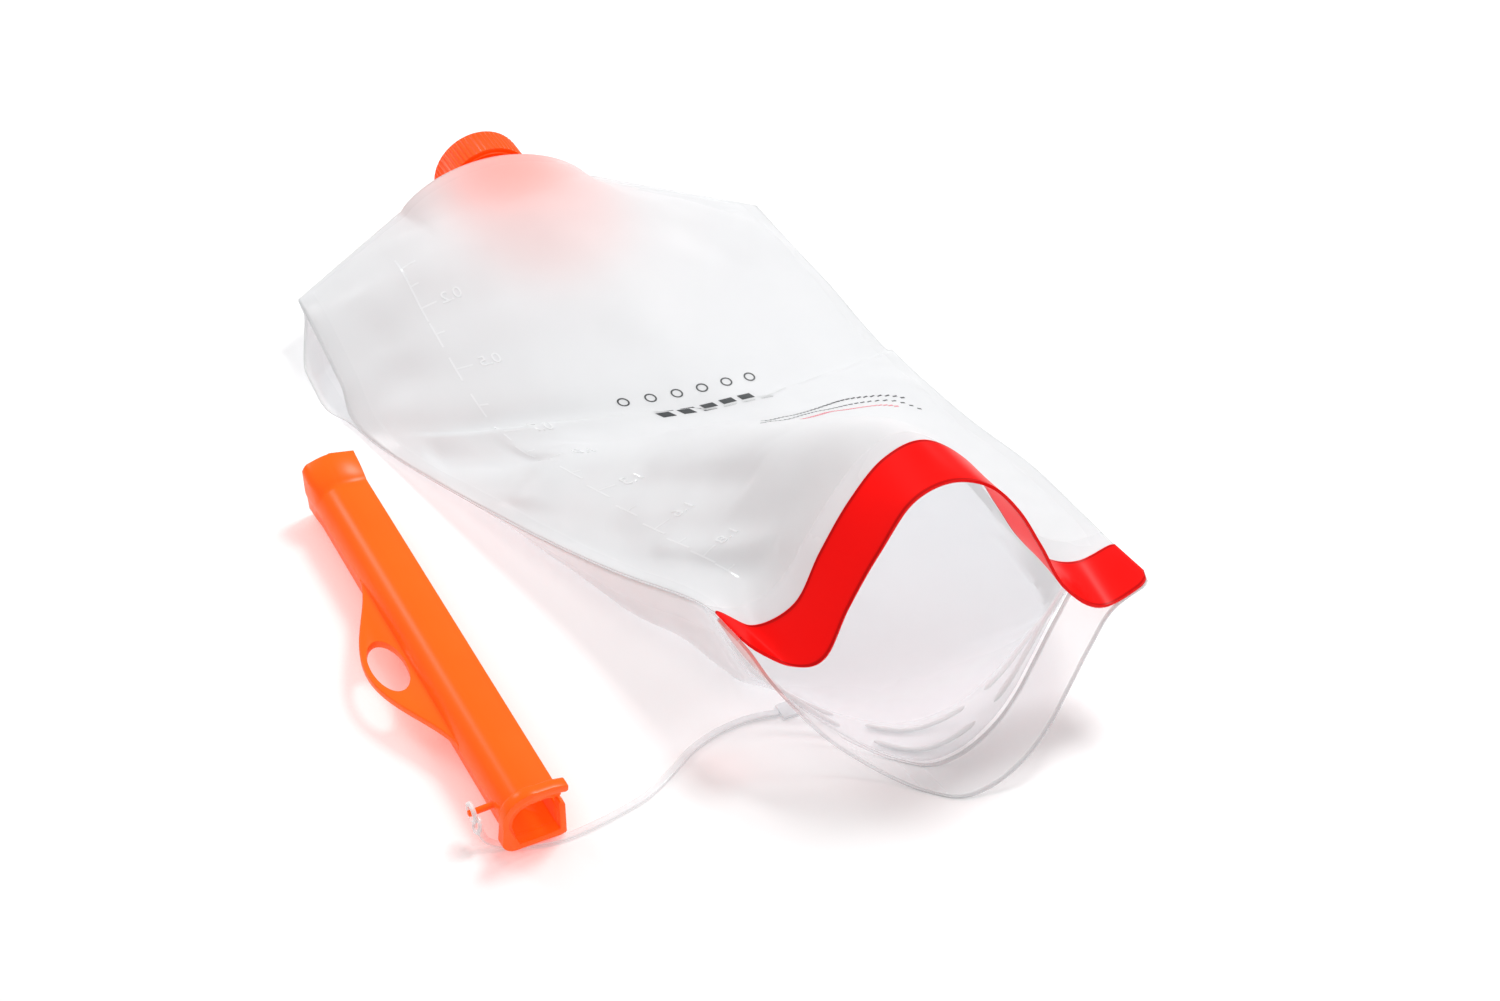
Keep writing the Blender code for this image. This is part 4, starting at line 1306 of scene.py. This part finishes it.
def build_stage():
    stage = bladder("stage")
    scene = bpy.context.scene
    floor_shape = bmesh.new()
    bmesh.ops.create_grid(floor_shape, x_segments=4, y_segments=4, size=stage.floor_size / 2)
    floor = mesh_piece("floor", floor_shape, made(plain_material, "pale_floor"), recalc=False)

    for name, place, size, watts in (
        ("key_light", KEY_PLACE, 0.36, stage.key_watts), ("side_light", SIDE_PLACE, 0.34, stage.fill_watts),
    ):
        data = bpy.data.lights.new(name, "AREA")
        data.shape, data.size, data.energy = "SQUARE", size, watts
        light = bpy.data.objects.new(name, data)
        light.location = place
        light.rotation_euler = Vector(place).to_track_quat("Z", "Y").to_euler()
        scene.collection.objects.link(light)

    world = bpy.data.worlds.new("studio")
    world.use_nodes = True
    nodes = world.node_tree.nodes
    background = nodes["Background"]
    coords, split, ramp, path, plain = (
        nodes.new("ShaderNode" + kind) for kind in ("TexCoord", "SeparateXYZ", "ValToRGB", "LightPath", "Mix")
    )
    for element, (place, shade) in zip(ramp.color_ramp.elements, SKY):
        element.position, element.color = place, shade
    plain.data_type = "RGBA"
    plain.inputs["B"].default_value = BACKDROP
    for start, end in (
        (coords.outputs["Generated"], split.inputs[0]), (split.outputs["Z"], ramp.inputs[0]),
        (path.outputs["Is Camera Ray"], plain.inputs["Factor"]), (ramp.outputs["Color"], plain.inputs["A"]),
        (plain.outputs["Result"], background.inputs["Color"]),
    ):
        world.node_tree.links.new(start, end)
    background.inputs["Strength"].default_value = stage.sky
    scene.world = world

    camera = bpy.data.cameras.new("camera")
    camera.lens = CAMERA_LENS
    viewer = bpy.data.objects.new("camera", camera)
    turn, rise = math.radians(CAMERA_TURN), math.radians(CAMERA_RISE)
    back = Vector((math.sin(turn) * math.cos(rise), -math.cos(turn) * math.cos(rise), math.sin(rise)))
    viewer.location = back * CAMERA_AWAY
    viewer.rotation_euler = back.to_track_quat("Z", "Y").to_euler()
    scene.collection.objects.link(viewer)
    scene.camera = viewer
    scene.view_settings.view_transform = "Standard"
    scene.view_settings.look = "None"


# Operators and panel.
class BLADDER_OT_films(bpy.types.Operator):
    """Build the two frosted films of the bag"""

    bl_idname = "bladder.films"
    bl_label = "Films"

    def execute(self, context):
        build_films()
        return {"FINISHED"}


class BLADDER_OT_marks(bpy.types.Operator):
    """Lay the raised volume scale and the printed marks on the front film"""

    bl_idname = "bladder.marks"
    bl_label = "Marks"

    def execute(self, context):
        build_marks()
        return {"FINISHED"}


class BLADDER_OT_bands(bpy.types.Operator):
    """Build the red and the clear lip bands at the mouth"""

    bl_idname = "bladder.bands"
    bl_label = "Lip bands"

    def execute(self, context):
        build_bands()
        return {"FINISHED"}


class BLADDER_OT_ribs(bpy.types.Operator):
    """Build the clear ribs welded inside the lip"""

    bl_idname = "bladder.ribs"
    bl_label = "Lip ribs"

    def execute(self, context):
        build_ribs()
        return {"FINISHED"}


class BLADDER_OT_port(bpy.types.Operator):
    """Build the outlet flange and its knurled collar"""

    bl_idname = "bladder.port"
    bl_label = "Outlet port"

    def execute(self, context):
        build_port()
        return {"FINISHED"}


class BLADDER_OT_valve(bpy.types.Operator):
    """Give the check valve, its spring and the seals their finishes"""

    bl_idname = "bladder.valve"
    bl_label = "Check valve"

    def execute(self, context):
        build_valve()
        return {"FINISHED"}


class BLADDER_OT_clip(bpy.types.Operator):
    """Build the slide clip with its finger loop, rim and prong"""

    bl_idname = "bladder.clip"
    bl_label = "Slide clip"

    def execute(self, context):
        build_clip()
        return {"FINISHED"}


class BLADDER_OT_tether(bpy.types.Operator):
    """Build the clear tether with its loop and tab"""

    bl_idname = "bladder.tether"
    bl_label = "Tether"

    def execute(self, context):
        build_tether()
        return {"FINISHED"}


class BLADDER_OT_stage(bpy.types.Operator):
    """Set up the floor, lights, surroundings and camera"""

    bl_idname = "bladder.stage"
    bl_label = "Stage"

    def execute(self, context):
        build_stage()
        return {"FINISHED"}


OPERATORS = (
    BLADDER_OT_films, BLADDER_OT_marks, BLADDER_OT_bands, BLADDER_OT_ribs, BLADDER_OT_port,
    BLADDER_OT_valve, BLADDER_OT_clip, BLADDER_OT_tether, BLADDER_OT_stage,
)


class BLADDER_PT_panel(bpy.types.Panel):
    """Lists the settings and the build steps of the bladder"""

    bl_idname = "BLADDER_PT_panel"
    bl_label = "Hydration bladder"
    bl_space_type = "VIEW_3D"
    bl_region_type = "UI"
    bl_category = "Bladder"

    def draw(self, context):
        for group, kind in SETTINGS.items():
            column = self.layout.box().column()
            column.label(text=group.capitalize())
            for label in kind.__annotations__:
                column.prop(bladder(group), label)
        for operator in OPERATORS:
            self.layout.operator(operator.bl_idname)


CLASSES = (*SETTINGS.values(), *OPERATORS, BLADDER_PT_panel)


def register():
    for kind in CLASSES:
        bpy.utils.register_class(kind)
    for group, kind in SETTINGS.items():
        setattr(bpy.types.Scene, f"bladder_{group}", PointerProperty(type=kind))


def unregister():
    for group in SETTINGS:
        delattr(bpy.types.Scene, f"bladder_{group}")
    for kind in reversed(CLASSES):
        bpy.utils.unregister_class(kind)


def main():
    register()
    bpy.ops.bladder.films()
    bpy.ops.bladder.marks()
    bpy.ops.bladder.bands()
    bpy.ops.bladder.ribs()
    bpy.ops.bladder.port()
    bpy.ops.bladder.valve()
    bpy.ops.bladder.clip()
    bpy.ops.bladder.tether()
    bpy.ops.bladder.stage()


if __name__ == "__main__":
    main()
